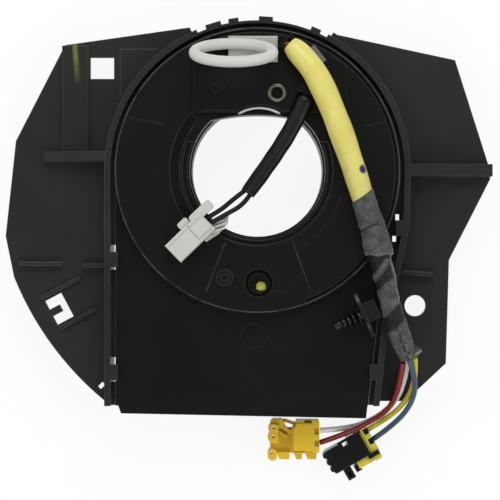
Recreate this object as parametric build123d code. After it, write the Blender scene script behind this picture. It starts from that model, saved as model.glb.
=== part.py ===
"""Steering clock spring: a shroud frame, a cassette with a ribbon cable, and its harness.

Millimetres. Z is the steering axis, with the origin on it at the back end of the
rotor's sleeve, and the part lies on its back with the rotor's face up.
"""
from build123d import *
from math import cos, hypot, pi, radians, sin, tan
import os

# Clearances
FIT = 0.3
RUN_GAP = 0.5
ROTOR_GAP = 3.4
COVER_GAP = 1.7

# Rotor
BORE_R = 23.6
KEY_STEP = 0.6
SLEEVE_WALL = 2.4
DISC_R = 49.0
DISC_T = 3.2
RIM_W = 1.8
RIM_LIP = 0.7
RIM_GROOVE = 1.2
FACE_Z = 26.0
SKIRT_W = 1.8
KEY_Y = BORE_R - 4.0
KEY_ARCH_R = 70.0
KEY_DEPTH = 9.0
WINDOW_R = 5.0
WINDOW_HOLE_R = 1.75
WINDOW_DEPTH = 1.6
SLEEVE_OUT_R = BORE_R + SLEEVE_WALL
RETAINER_R = SLEEVE_OUT_R + 5.5
RETAINER_T = 1.7

# Shroud frame
WALL_IN_R = DISC_R + ROTOR_GAP
WALL_T = 2.2
WALL_TOP = 24.0
CREST_T = 1.0
FOOT_Y = -84.0
KNEE_Y = -20.0
SHIN_Y = -54.0
KNEE_X = WALL_IN_R - 0.4
SHIN_X = WALL_IN_R - 7.8
FOOT_IN_X = WALL_IN_R - 11.2
WING_TOP = 14.0
WING_T = 2.2
RIB_TOP = 23.0
SHELF_W = 1.5
SHELF_T = 2.2

# Stator cassette
COVER_TOP = 21.0
COVER_T = 2.4
COVER_HOLE_R = DISC_R - 3.5
FLOOR_Z = 2.0
FLOOR_T = 2.0
HOUSING_IN_R = DISC_R - 4.0
HOUSING_WALL = 2.4
SLIP_T = 0.3

# Ribbon cable and its carrier
RIBBON_T = 0.3
RIBBON_Z = 7.0
RIBBON_W = 11.4
RIBBON_PITCH = 0.35
ROLLER_R = 3.4
ROLLER_PITCH_R = HOUSING_IN_R - 5.4
ROLLER_BORE_R = 1.36
ROLLER_H = 11.3
MARK_ANGLE = -88.3
POST_R = 1.3
CARRIER_IN_R = SLEEVE_OUT_R + 3.5
CARRIER_OUT_R = HOUSING_IN_R - 1.4
CARRIER_T = 1.6

# Tower on the rotor's face
TOWER_LEFT = -22.8
TOWER_RIGHT = 31.7
TOWER_LOW = KEY_Y + 0.7
TOWER_TOP = 28.0
TOWER_SKIN = 1.4
TOWER_WALL = 1.6
TOWER_R = DISC_R - 0.8
POCKET_DEPTH = 2.4
ARCH_X = 0.9
ARCH_R = 14.8
ARCH_RISE = 2.1
LIP_W = 0.8
LIP_H = 0.5

# Transport lock
LOCK_X = -1.6
LOCK_Y = DISC_R - 6.3
LOCK_W = 17.6
LOCK_D = 9.2
LOCK_TOP = 30.0
TONGUE_W = 8.0
TONGUE_D = 2.4
TONGUE_GAP = 1.2
RING_W = 31.2
RING_H = 21.0
RING_BAR = 3.9
RING_LEAN = 27.0
RING_BACK = 2.2

# Vehicle socket under the apron
SOCKET_W = 34.0
SOCKET_D = 15.0
SOCKET_Y = -61.5
SOCKET_WALL = 1.6
SOCKET_MOUTH = 2.0
SOCKET_DEPTH = 10.5
PIN = 0.64
PIN_PITCH = 4.0

# Harness
SLEEVE_D = 8.6
TAPE_D = 8.2
LEAD_D = 5.7
WIRE_D = 2.0
LEAD_WIRE_D = 1.7

DISC_BACK = FACE_Z - DISC_T
RIM_R = DISC_R + RIM_W
COVER_SEAT = COVER_TOP - COVER_T
FLOOR_TOP = FLOOR_Z + FLOOR_T
HOUSING_OUT_R = HOUSING_IN_R + HOUSING_WALL
WALL_OUT_R = WALL_IN_R + WALL_T
CREST_R = WALL_IN_R + CREST_T
CARRIER_Z = FLOOR_TOP + SLIP_T + FIT
ROLLER_Z = CARRIER_Z + CARRIER_T + FIT
MARKER_H = DISC_BACK - FIT - ROLLER_Z
UP = (Align.CENTER, Align.CENTER, Align.MIN)


def disc(radius, low, high):
    """A round slab about the steering axis."""
    return Pos(0, 0, low) * Cylinder(radius, high - low, align=UP)


def ring(outer, inner, low, high):
    """A flat ring about the steering axis."""
    return disc(outer, low, high) - disc(inner, low - 1, high + 1)


def block(x0, x1, y0, y1, low, high):
    """A box between two corners."""
    box = Box(x1 - x0, y1 - y0, high - low, align=(Align.MIN, Align.MIN, Align.MIN))
    return Pos(x0, y0, low) * box


def slab(outline, low, high):
    """A closed outline of points, raised between two heights."""
    face = make_face(Polyline(*outline, close=True))
    return Pos(0, 0, low) * extrude(face, amount=high - low)


def bar(x, y, angle, length, width, low, high):
    """A straight bar centred on a point and turned in the plane."""
    return Pos(x, y, low) * Rot(0, 0, angle) * Box(length, width, high - low, align=UP)


def polar(radius, angle):
    """A point on a circle about the steering axis, as x and y."""
    return radius * cos(radians(angle)), radius * sin(radians(angle))


def sector(outer, inner, start, span, low, high):
    """Part of a flat ring, from one angle over a span."""
    a, b = polar(outer, start), polar(outer, start + span)
    c, d = polar(inner, start + span), polar(inner, start)
    edges = [
        CenterArc((0, 0), outer, start, span),
        Line(b, c),
        CenterArc((0, 0), inner, start, span),
        Line(d, a),
    ]
    return Pos(0, 0, low) * extrude(make_face(edges), amount=high - low)


RIGHT_LEG = ((KNEE_X, KNEE_Y), (SHIN_X, SHIN_Y), (FOOT_IN_X, FOOT_Y))


def horseshoe(grow, foot_y, low, high):
    """The frame's U, grown from its inner face: an arch, a straight left leg and a bent right one."""
    arc_r = WALL_IN_R + grow
    right = [(arc_r, 0)] + [(x + grow, y) for x, y in RIGHT_LEG[:-1]] + [(FOOT_IN_X + grow, foot_y)]
    edges = [
        ThreePointArc((-arc_r, 0), (0, arc_r), (arc_r, 0)),
        Polyline(*right),
        Polyline(right[-1], (-arc_r, foot_y), (-arc_r, 0)),
    ]
    return Pos(0, 0, low) * extrude(make_face(edges), amount=high - low)


# Frame
NOTCH = (-71.45, -49.6)
NOTCH_W = 6.6
NOTCH_H = 9.6
NOTCH_ANGLE = 28.0
SCREW_HOLE = (56.9, -48.5)
SCREW_HOLE_R = 3.8
SNAP_W = 5.6
SNAP_REACH = 2.6
SNAPS_LEFT = (-31.8, -72.0)
SNAPS_RIGHT = (-20.6, -72.0)
SNAP_SLOTS = ((WALL_IN_R - 2.3, -17.0, 2.8), (WALL_IN_R - 3.4, -24.4, 2.0))
DRAIN = (-56.2, -77.3)
LEFT_WING = ((-24.3, 51.9), (-69.4, 45.5), (-87.1, 10.9), (-90.8, -23.4), (-87.8, -38.1))
LEFT_TAIL = ((-87.8, -38.1), (-74.4, -62.3), (-55.0, -82.9))
LEFT_INSIDE = ((-55.0, -82.9), (-52.5, -82.9), (-52.5, 0), (-24.3, 30), (-24.3, 51.9))
RIGHT_WING = (
    (27.6, 30), (27.6, 49.5), (71.3, 40.1), (83.4, 2.1), (84.0, -2.8), (69.1, -32.0),
    (68.0, -69.3), (55.8, -80.7), (51.8, -82.9), (40.0, -82.9), (42.0, -40.0), (45.0, 5.0),
)
CREST = (62.5, 51.0)
LUGS = ((99.1, 3.6), (106.9, 5.6), (86.8, 5.0), (67.4, 3.6))
CORNER_LUGS = ((117.6, 4.4), (58.6, 5.2))


def wings():
    """The two flat wings, with their level steps, low ribs and holes."""
    left = [Polyline(*LEFT_WING), ThreePointArc(*LEFT_TAIL), Polyline(*LEFT_INSIDE)]
    low = WING_TOP - WING_T
    plates = Pos(0, 0, low) * extrude(make_face(left), amount=WING_T)
    plates += slab(RIGHT_WING, low, WING_TOP)
    plates += block(-70.3, -61.0, 6.0, 45.2, low, WING_TOP + 1.6)
    plates += block(-49.5, -36.0, 26.0, 44.0, low, WING_TOP + 0.5)
    plates -= block(-60.2, -51.7, 33.3, 41.0, low - 1, WING_TOP + 3)
    x, y = SCREW_HOLE
    plates -= Pos(x, y, low - 1) * Cylinder(SCREW_HOLE_R, WING_T + 2, align=UP)
    plates -= bar(*DRAIN, 45, 2.4, 1.4, low - 1, WING_TOP + 1)
    return plates - clip_notch(low - 1, WING_TOP + 1)


def clip_notch(low, high):
    """The turned window in the left wing, with a spring tongue left standing in it."""
    x, y = NOTCH
    window = bar(x, y, NOTCH_ANGLE, NOTCH_W, NOTCH_H, low, high)
    place = Pos(x, y, low) * Rot(0, 0, NOTCH_ANGLE)
    return window - place * Pos(-1.3, 0, 0) * Box(4.2, 2.7, high - low, align=UP)


def gusset(x_wall, x_tip, y, width, tip_top):
    """A stiffening rib from the U-wall, falling towards its outer tip."""
    outline = [(x_wall, WING_TOP - 1), (x_wall, RIB_TOP), (x_tip, tip_top), (x_tip, WING_TOP - 1)]
    face = make_face(Polyline(*outline, close=True))
    return Pos(0, y + width / 2, 0) * extrude(Rot(90, 0, 0) * face, amount=width)


def wing_ribs():
    """The gussets beside the U-wall and the low ribs round the window."""
    parts = gusset(-53.0, -76.8, 5.2, 3.4, 17.0)
    parts += gusset(53.0, 84.3, 0.2, 4.4, 19.0)
    low_top = WING_TOP + 3.5
    parts += block(-85.7, -70.1, -34.0, -32.8, WING_TOP - 1, low_top)
    parts += block(-62.6, -53.0, -34.6, -33.4, WING_TOP - 1, low_top)
    parts += bar(57.0, -36.8, -5.0, 12.0, 1.3, WING_TOP - 1, low_top)
    parts += bar(-70.9, -42.1, NOTCH_ANGLE, 15.5, 1.2, WING_TOP - 1, WING_TOP + 1.5)
    parts += bar(-64.7, -53.2, NOTCH_ANGLE, 14.5, 1.2, WING_TOP - 1, WING_TOP + 1.5)
    return parts


def snap_hooks():
    """Hooks on the legs that hold the apron down, a hair above its face."""
    low = COVER_TOP + 0.1
    half = SNAP_W / 2
    parts = []
    for y in SNAPS_LEFT:
        parts.append(block(-WALL_IN_R - 0.5, -WALL_IN_R + SNAP_REACH, y - half, y + half, low, WALL_TOP))
    for y in SNAPS_RIGHT:
        x = right_leg_x(y)
        parts.append(block(x - SNAP_REACH, x + 1.0, y - half, y + half, low, WALL_TOP))
    return parts


def right_leg_x(y):
    """Where the bent right leg's inner face lies at a height in the plane."""
    upper, lower = (RIGHT_LEG[0], RIGHT_LEG[1]) if y > SHIN_Y else (RIGHT_LEG[1], RIGHT_LEG[2])
    return upper[0] + (lower[0] - upper[0]) * (y - upper[1]) / (lower[1] - upper[1])


def snap_slots():
    """The slots beside the hooks, through the shelf and the apron's edge."""
    parts = []
    for x, y, width in SNAP_SLOTS:
        parts.append(block(x - 0.8, x + 0.8, y - width / 2, y + width / 2, -1, WALL_TOP + 1))
    return parts


def crest_lugs():
    """The lugs outside the arch, where its wall is thin, and one at each wing's corner."""
    parts = []
    for angle, length in LUGS:
        x, y = polar(CREST_R + 0.4, angle)
        parts.append(bar(x, y, angle + 90, length, 2.0, WALL_TOP - 6, WALL_TOP))
    for angle, length in CORNER_LUGS:
        x, y = polar(WALL_OUT_R + 0.4, angle)
        parts.append(bar(x, y, angle + 90, length, 2.6, WING_TOP, WALL_TOP - 3))
    return parts


def shroud_frame():
    wall = horseshoe(WALL_T, FOOT_Y, 0, WALL_TOP)
    wall -= sector(WALL_OUT_R + 1, CREST_R, *CREST, -1, WALL_TOP + 1)
    shelf = horseshoe(0.5, FOOT_Y, COVER_SEAT - SHELF_T, COVER_SEAT)
    shelf -= horseshoe(-SHELF_W, FOOT_Y - 1, 0, WALL_TOP)
    for y in SNAPS_LEFT:
        shelf -= block(-WALL_IN_R, -WALL_IN_R + SHELF_W + 1, y - 3.6, y + 5.2, 0, WALL_TOP)
    frame = wings() + wall + wing_ribs() - horseshoe(0, FOOT_Y - 1, -1, WALL_TOP + 1)
    frame += shelf
    for slot in snap_slots():
        frame -= slot
    for piece in snap_hooks() + crest_lugs():
        frame += piece
    return frame


# Cassette
def stator_cover():
    """The cassette's front ring and the apron that fills the U, in one flat moulding."""
    edge_x = COVER_GAP - WALL_IN_R
    cover = horseshoe(-COVER_GAP, FOOT_Y, COVER_SEAT, COVER_TOP)
    tail = [
        (edge_x, FOOT_Y + 2.7), (edge_x + 1.9, FOOT_Y - 2.8), (FOOT_IN_X - COVER_GAP - 0.7, FOOT_Y - 4.6),
        (FOOT_IN_X - COVER_GAP, FOOT_Y + 1.0), (0, FOOT_Y + 10),
    ]
    cover += slab(tail, COVER_SEAT, COVER_TOP)
    cover -= block(edge_x - 1, edge_x + 0.01, FOOT_Y - 4, FOOT_Y + 2.7, 0, WALL_TOP)
    cover -= disc(COVER_HOLE_R, 0, WALL_TOP)
    cover -= Pos(-1.2, -59.1, COVER_TOP - 0.6) * Cylinder(4.3, 2, align=UP)
    for slot in snap_slots():
        cover -= slot
    slot_y = LOCK_Y + LOCK_D / 2 - TONGUE_D / 2 - 0.8
    cover -= block(LOCK_X - TONGUE_W / 2 - FIT, LOCK_X + TONGUE_W / 2 + FIT,
                   slot_y - TONGUE_D / 2 - FIT, slot_y + TONGUE_D / 2 + FIT, 0, WALL_TOP)
    return cover


def stator_housing():
    """The cassette's back shell: a floor with a hub hole, and its round wall."""
    hub_r = SLEEVE_OUT_R + RUN_GAP
    shell = ring(HOUSING_OUT_R, hub_r, FLOOR_Z, COVER_SEAT)
    shell -= disc(HOUSING_IN_R, FLOOR_TOP, COVER_SEAT + 1)
    for angle in range(30, 360, 60):
        x, y = polar(HOUSING_OUT_R + 0.6, angle)
        shell += bar(x, y, angle, 2.4, 4.0, FLOOR_Z, COVER_SEAT)
    exit_x, exit_y = EXIT_END
    wide = 2 * EXIT_BEND
    return shell - block(exit_x - wide / 2, exit_x + wide, -HOUSING_OUT_R - wide, 1 - HOUSING_IN_R,
                         RIBBON_Z - FIT, COVER_SEAT + 1)


def connector_block():
    """The vehicle side socket: a header under the apron and a shroud open at the back."""
    x, y0, y1 = SOCKET_W / 2, SOCKET_Y - SOCKET_D / 2, SOCKET_Y + SOCKET_D / 2
    wall = SOCKET_WALL
    body = block(-x, x, y0, y1, SOCKET_MOUTH, COVER_SEAT)
    body = fillet(body.edges().filter_by(Axis.Z), 1.5)
    body -= block(-x + wall, x - wall, y0 + wall, y1 - wall, 0, SOCKET_MOUTH + SOCKET_DEPTH)
    body -= block(-5, 5, y1 - wall - 1, y1 + 1, 0, SOCKET_MOUTH + 5)
    body += block(-8, 4, y1 - 1, SOCKET_LUG_Y, SOCKET_MOUTH + SOCKET_DEPTH, COVER_SEAT)
    return body


def connector_pins():
    """Two rows of blade pins on the socket's ceiling."""
    pins = []
    ceiling = SOCKET_MOUTH + SOCKET_DEPTH
    for row in (-1, 1):
        for column in range(-3, 4):
            x, y = column * PIN_PITCH, SOCKET_Y + row * PIN_PITCH / 2
            pins.append(Pos(x, y, ceiling - 5.5) * Box(PIN, PIN, 5.5, align=UP))
    return Compound(children=pins)


def slip_sheet():
    return ring(HOUSING_IN_R - FIT, SLEEVE_OUT_R + 1.2, FLOOR_TOP, FLOOR_TOP + SLIP_T)


# Rotor
def rotor():
    """The turning face, its skirt, and the sleeve round the steering shaft."""
    body = disc(RIM_R, DISC_BACK, FACE_Z)
    body = fillet(body.edges().group_by(Axis.Z)[-1], 0.6)
    body += ring(RIM_R, RIM_R - SKIRT_W, COVER_TOP + RUN_GAP, DISC_BACK + 0.1)
    body -= sector(RIM_R - RIM_LIP, DISC_R, -70, 180, FACE_Z - RIM_GROOVE, FACE_Z + 1)
    body += disc(SLEEVE_OUT_R, 0, FACE_Z)
    key_z = FACE_Z - KEY_DEPTH
    flat = Pos(0, KEY_Y - KEY_ARCH_R, key_z) * Cylinder(KEY_ARCH_R, KEY_DEPTH + 2, align=UP)
    mouth = disc(BORE_R + KEY_STEP, key_z, FACE_Z + 1) & flat
    body -= disc(BORE_R, -1, key_z) + mouth
    body -= ring(SLEEVE_OUT_R + 0.8, BORE_R - 8, FACE_Z - 0.6, FACE_Z + 1) - block(-30, 30, 10, 40, 0, 40)
    body -= ring(BORE_R + 1.4, BORE_R - 8, FACE_Z - 1.3, FACE_Z + 1) - block(-30, 30, 10, 40, 0, 40)
    body -= sector(STEP_R, SLEEVE_OUT_R + 1.8, 140, 75, FACE_Z - 0.8, FACE_Z + 1)
    body += sector(STEP_R + 0.8, STEP_R, -60, 42, FACE_Z - 0.5, FACE_Z + 0.4)
    for start, end in SEAMS:
        body += seam(start, end)
    body = body - sight_window() - tower_pocket()
    body -= sector(SLEEVE_OUT_R + 1.2, SLEEVE_OUT_R + 0.05, MARK_ANGLE + 180, 26, DISC_BACK - 1, FACE_Z)
    body -= lock_tongue(FIT, DISC_BACK - 1, FACE_Z + 1)
    return body


STEP_R = SLEEVE_OUT_R + 5.2
SEAMS = (
    ((-11.5, -25.9), (-18.2, -43.0)),
    ((12.3, -24.9), (19.0, -43.4)),
    ((-45.6, 15.9), (-33.0, 18.4)),
    ((45.9, 15.0), (38.0, 17.0)),
    ((27.4, -8.0), (34.0, -15.0)),
)


def seam(start, end):
    """A low raised line on the rotor's face."""
    (x0, y0), (x1, y1) = start, end
    turn = Vector(x1 - x0, y1 - y0).get_signed_angle(Vector(1, 0)) * -1
    length = hypot(x1 - x0, y1 - y0)
    return bar((x0 + x1) / 2, (y0 + y1) / 2, turn, length, 0.8, FACE_Z - 0.5, FACE_Z + 0.4)


def sight_window():
    """The dished window and its hole, over the marked roller."""
    x, y = polar(40.2, -89.3)
    dish = Pos(x, y, FACE_Z - WINDOW_DEPTH) * Cone(WINDOW_R - 1.4, WINDOW_R, WINDOW_DEPTH + 0.01, align=UP)
    hx, hy = polar(41.5, MARK_ANGLE)
    return dish + Pos(hx, hy, DISC_BACK - 1) * Cylinder(WINDOW_HOLE_R, DISC_T + 2, align=UP)


def tower_shape(inset, low, high):
    """The tower's outline: a rectangle bounded by the rotor's rim."""
    plate = block(TOWER_LEFT + inset, TOWER_RIGHT - inset, TOWER_LOW + inset, 60, low, high)
    return plate & disc(TOWER_R - inset, low, high)


def tower_pocket():
    """The shallow well under the tower's cover, for the terminal block."""
    well = block(-8, 15.5, SLEEVE_OUT_R + 0.2, 36.5, FACE_Z - POCKET_DEPTH, FACE_Z + 1)
    return fillet(well.edges().filter_by(Axis.Z), 1.0)


def sleeve_retainer():
    """The snap ring on the sleeve's back end, under the housing's floor."""
    collar = ring(RETAINER_R, SLEEVE_OUT_R, 0, RETAINER_T)
    for angle in range(0, 360, 60):
        x, y = polar(RETAINER_R, angle)
        collar -= bar(x, y, angle, 3.0, 6.0, -1, RETAINER_T + 1)
    return collar


def terminal_block():
    """The rotor side joint between the ribbon cable and the leads."""
    top = TOWER_TOP - TOWER_SKIN - FIT
    body = block(-7.5, 15.0, SLEEVE_OUT_R + 0.6, 36.0, FACE_Z - POCKET_DEPTH, top)
    body = fillet(body.edges().filter_by(Axis.Z), 0.8)
    return body - sector(SLEEVE_OUT_R + 1.4, SLEEVE_OUT_R - 1, 80, 40, 0, FACE_Z)


LATCH = (21.0, 40.6)
LATCH_ANGLE = -52.0
TROUGH_ANGLE = -113.0
LEAD_START = (17.6, 26.4, 29.3)


def terminal_cover():
    """The tower's front cover, with the lock's seat, the wire ports and two small bosses."""
    cover = tower_shape(0, FACE_Z, TOWER_TOP)
    cover -= tower_shape(TOWER_WALL, FACE_Z - 1, TOWER_TOP - TOWER_SKIN)
    cover += block(TOWER_LEFT + 4, TOWER_RIGHT - 20, TOWER_LOW, TOWER_LOW + LIP_W, FACE_Z, TOWER_TOP + LIP_H)
    arch = Pos(ARCH_X, TOWER_LOW + ARCH_RISE - ARCH_R, FACE_Z)
    lip = arch * Cylinder(ARCH_R + LIP_W, TOWER_TOP + LIP_H - FACE_Z, align=UP)
    cover += lip & block(TOWER_LEFT, TOWER_RIGHT, TOWER_LOW, TOWER_R, FACE_Z, TOWER_TOP + LIP_H)
    cover -= arch * Cylinder(ARCH_R, 60)
    seat = FIT * 2
    cover -= block(LOCK_X - LOCK_W / 2 - seat, LOCK_X + LOCK_W / 2 + seat,
                   LOCK_Y - LOCK_D / 2 - seat, 60, 0, 40)
    cover += Pos(6.9, 27.2, TOWER_TOP - TOWER_SKIN) * Cylinder(3.4, TOWER_SKIN + 1.0, align=UP)
    cover -= Pos(6.9, 27.2, TOWER_TOP - TOWER_SKIN + 0.6) * Cylinder(2.1, 3, align=UP)
    cover += bar(-14.3, 29.3, 30, 4.2, 3.2, TOWER_TOP - TOWER_SKIN, TOWER_TOP + 0.9)
    cover += bar(-13.0, 30.6, 30, 1.4, 4.4, TOWER_TOP - TOWER_SKIN, TOWER_TOP + 1.4)
    cover += wire_cradle()
    cover += lead_hood()
    x, y = LATCH
    cover -= bar(x, y, LATCH_ANGLE, 7.6, 3.6, 0, 40)
    lx, ly, lz = LEAD_START
    trough = Pos(lx, ly, FACE_Z - 1) * Rot(0, 0, TROUGH_ANGLE) * Pos(7, 0, 0) * Box(14, 7.0, 12, align=UP)
    return cover - trough


def wire_cradle():
    """The open saddle that the leads leave the tower through."""
    x, y = 10.45, 44.95
    place = Pos(x, y, TOWER_TOP - TOWER_SKIN) * Rot(0, 0, -43.1)
    saddle = place * Box(2.0, 6.0, 6.6, align=UP)
    slot = place * (Pos(0, 0, 3.2) * Box(6, 3.2, 8, align=UP))
    return saddle - slot


def lead_hood():
    """The low hood that the black lead starts from."""
    x, y, z = LEAD_START
    place = Pos(x, y, 0) * Rot(0, 0, TROUGH_ANGLE) * Pos(-1.7, 0, TOWER_TOP - TOWER_SKIN)
    return place * Box(3.2, 7.0, 3.4, align=UP)


def terminal_latch():
    """The pale secondary latch beside the wire port."""
    x, y = LATCH
    return bar(x, y, LATCH_ANGLE, 7.0, 3.0, FACE_Z, TOWER_TOP + 1.0)


# Lock
def lock_tongue(clearance, low, high):
    """The tongue's outline, grown by a clearance for its slot."""
    y = LOCK_Y + LOCK_D / 2 - TONGUE_D / 2 - 0.8
    x = LOCK_X
    half_w, half_d = TONGUE_W / 2 + clearance, TONGUE_D / 2 + clearance
    return block(x - half_w, x + half_w, y - half_d, y + half_d, low, high)


def lock_tab():
    """The transport lock: a square foot, its tongue and an oval pull ring that leans over."""
    low = FACE_Z + FIT
    foot = block(LOCK_X - LOCK_W / 2, LOCK_X + LOCK_W / 2,
                 LOCK_Y - LOCK_D / 2, LOCK_Y + LOCK_D / 2, low, LOCK_TOP)
    foot = foot & disc(DISC_R - 0.4, low, LOCK_TOP)
    foot = fillet(foot.edges().group_by(Axis.Z)[-1], 0.8)
    foot += lock_tongue(0, COVER_TOP + TONGUE_GAP, low + 0.5)
    mid_x = LOCK_X + LOCK_W / 2 - RING_W / 2
    path = Ellipse((RING_W - RING_BAR) / 2, (RING_H - RING_BAR) / 2).wire()
    section = Plane(origin=path @ 0, z_dir=path % 0) * Circle(RING_BAR / 2)
    loop = sweep(section, path=path)
    mid_y = LOCK_Y - RING_BACK
    lean = Pos(mid_x, mid_y, LOCK_TOP + RING_H / 2 - 1.6) * Rot(90 + RING_LEAN, 0, 0)
    stem = block(LOCK_X + LOCK_W / 2 - 4.2, LOCK_X + LOCK_W / 2 - 0.6, mid_y - 1.9, mid_y + 2.1,
                 LOCK_TOP - 0.5, LOCK_TOP + RING_H / 2)
    return foot + lean * loop + fillet(stem.edges().filter_by(Axis.Z), 1.0)


# Ribbon cable
TURN_R = ROLLER_R + RIBBON_T / 2 + 0.1
EXIT_BEND = 3.0
EXIT_R = ROLLER_PITCH_R + TURN_R + 4 * RIBBON_PITCH
SOCKET_LUG_Y = -52.2
EXIT_END = (polar(EXIT_R + EXIT_BEND, MARK_ANGLE)[0] - EXIT_BEND, polar(EXIT_R + EXIT_BEND, MARK_ANGLE)[1])


def half_turns(radius, angle, step, count, sense):
    """Half circles about shifting centres, whose distance from the axis changes by a step."""
    arcs = []
    for _ in range(count):
        after = radius + step
        shift = (radius - after) / 2
        arcs.append((polar(shift, angle), (radius + after) / 2, angle, 180 * sense))
        radius, angle = after, angle + 180 * sense
    return arcs, radius, angle


def ribbon_arcs():
    """The cable's centre line as arcs: outer winding, turn round the roller, inner winding."""
    turn_r = TURN_R
    inner_start = ROLLER_PITCH_R - turn_r
    outer, _, _ = half_turns(ROLLER_PITCH_R + turn_r, MARK_ANGLE, RIBBON_PITCH, 4, -1)
    outer = [(c, r, a + s, -s) for c, r, a, s in reversed(outer)]
    leave = [(polar(EXIT_R + EXIT_BEND, MARK_ANGLE), EXIT_BEND, 180, MARK_ANGLE)]
    turn = [(polar(ROLLER_PITCH_R, MARK_ANGLE), turn_r, MARK_ANGLE, 180)]
    inner_r = SLEEVE_OUT_R + 0.5 + 6 * RIBBON_PITCH
    across, radius, angle = half_turns(inner_start, MARK_ANGLE, inner_r - inner_start, 1, -1)
    inner, _, _ = half_turns(radius, angle, -RIBBON_PITCH, 6, -1)
    return leave + outer + turn + across + inner


def ribbon_outline(arcs):
    """The strip's outline: both sides of every arc, closed by a straight cap at each end."""
    edges = []
    ends = []
    for side in (-1, 1):
        for centre, radius, start, span in arcs:
            offset = side * RIBBON_T / 2 * (1 if span > 0 else -1)
            edges.append(CenterArc(centre, radius + offset, start, span))
        ends.append((edges[-len(arcs)] @ 0, edges[-1] @ 1))
    edges.append(Line(ends[0][0], ends[1][0]))
    edges.append(Line(ends[0][1], ends[1][1]))
    return make_face(edges)


def ribbon_cable():
    """The flat cable on its edge, with its outer end led to the socket and its inner end raised."""
    arcs = ribbon_arcs()
    cable = Pos(0, 0, RIBBON_Z) * extrude(ribbon_outline(arcs), amount=RIBBON_W)
    exit_x, exit_y = EXIT_END
    half = RIBBON_T / 2
    cable += block(exit_x - half, exit_x + half, SOCKET_LUG_Y + 0.1, exit_y, RIBBON_Z, RIBBON_Z + RIBBON_W)
    centre, radius, start, span = arcs[-1]
    tab_span = 20
    tab = sector(radius + half, radius - half, start + span, tab_span,
                 RIBBON_Z + RIBBON_W, FACE_Z - POCKET_DEPTH + 1.0)
    return cable + Pos(centre[0], centre[1], 0) * tab


def roller_places():
    return [polar(ROLLER_PITCH_R, MARK_ANGLE + 90 * i) for i in range(4)]


def roller_carrier():
    """The ring that floats between the windings and carries the rollers on posts."""
    body = ring(CARRIER_OUT_R, CARRIER_IN_R, CARRIER_Z, CARRIER_Z + CARRIER_T)
    for angle in range(20, 360, 60):
        body -= sector(37, 33, angle, 26, 0, 20)
    for x, y in roller_places():
        body += Pos(x, y, CARRIER_Z) * Cylinder(POST_R, CARRIER_T + FIT + ROLLER_H - 2.0, align=UP)
    return body


def roller(place, height):
    """A blind-bored roller, closed at its top."""
    x, y = place
    body = Cylinder(ROLLER_R, height, align=UP)
    body = fillet(body.edges().group_by(Axis.Z)[-1], 0.4)
    body -= Pos(0, 0, -0.1) * Cylinder(ROLLER_BORE_R, ROLLER_H - 1.4, align=UP)
    return Pos(x, y, ROLLER_Z) * body


# Harness
def cord(points, diameter):
    """A round cord along straight runs joined by arcs, and the radii of those arcs."""
    corners = [Vector(*point) for point in points]
    radii = []
    for before, corner, after in zip(corners, corners[1:], corners[2:]):
        into, out = corner - before, after - corner
        half_turn = radians(into.get_angle(out)) / 2
        radii.append(0.45 * min(into.length, out.length) / tan(half_turn))
    path = FilletPolyline(*corners, radius=radii)
    section = Plane(origin=path @ 0, z_dir=path % 0) * Circle(diameter / 2)
    return sweep(section, path=path), path, radii


YELLOW_SLEEVE = ((11.4, 44.0, 33.2), (17.6, 38.2, 34.0), (23.4, 28.3, 34.0), (31.1, 9.3, 32.0),
                 (36.8, -8.6, 31.0))
TAPE = ((36.8, -8.6, 31.0), (41.36, -22.92, 30.2), (45.4, -39.6, 30.3), (48.2, -53.9, 29.6),
        (53.4, -66.8, 27.6))
RED = ((51.5, -68.3, 27.8), (50.8, -76.5, 24.0), (47.4, -86.0, 16.5), (39.6, -91.2, 11.5),
       (31.0, -95.6, 8.4), (22.9, -98.6, 5.5))
WHITE = ((53.3, -67.3, 25.9), (52.6, -76.0, 21.3), (48.8, -84.5, 14.0), (41.5, -90.5, 7.2),
         (32.5, -93.6, 5.8), (22.9, -94.2, 5.5))
YELLOW = ((55.7, -66.6, 27.5), (56.6, -75.0, 22.4), (53.0, -83.6, 15.6), (47.2, -89.4, 9.6),
          (40.4, -93.8, 5.5))
BLUE = ((53.6, -67.1, 29.1), (56.0, -73.5, 27.0), (56.0, -82.0, 20.0), (50.6, -90.9, 11.4),
        (42.5, -97.2, 5.5))
BLACK_LEAD = (LEAD_START, (13.6, 16.9, 29.3), (5.2, 3.5, 29.4), (-2.7, -7.2, 29.4))
LEAD_WIRE_A = ((-3.8, -6.9, 29.7), (-8.4, -10.3, 29.8), (-13.0, -14.4, 29.9), (-17.6, -16.9, 30.0))
LEAD_WIRE_B = ((-2.3, -8.3, 29.1), (-4.8, -12.3, 29.2), (-11.2, -15.8, 29.6), (-16.4, -18.8, 30.0))


def harness_cords():
    """Each cord of the harness by name, with its route and diameter."""
    return {
        "yellow_sleeve": (YELLOW_SLEEVE, SLEEVE_D),
        "harness_tape": (TAPE, TAPE_D),
        "red_wire": (RED, WIRE_D),
        "white_wire": (WHITE, WIRE_D),
        "yellow_wire": (YELLOW, WIRE_D),
        "blue_wire": (BLUE, WIRE_D),
        "black_lead_sleeve": (BLACK_LEAD, LEAD_D),
        "black_lead_wire_a": (LEAD_WIRE_A, LEAD_WIRE_D),
        "black_lead_wire_b": (LEAD_WIRE_B, LEAD_WIRE_D),
    }


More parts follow.
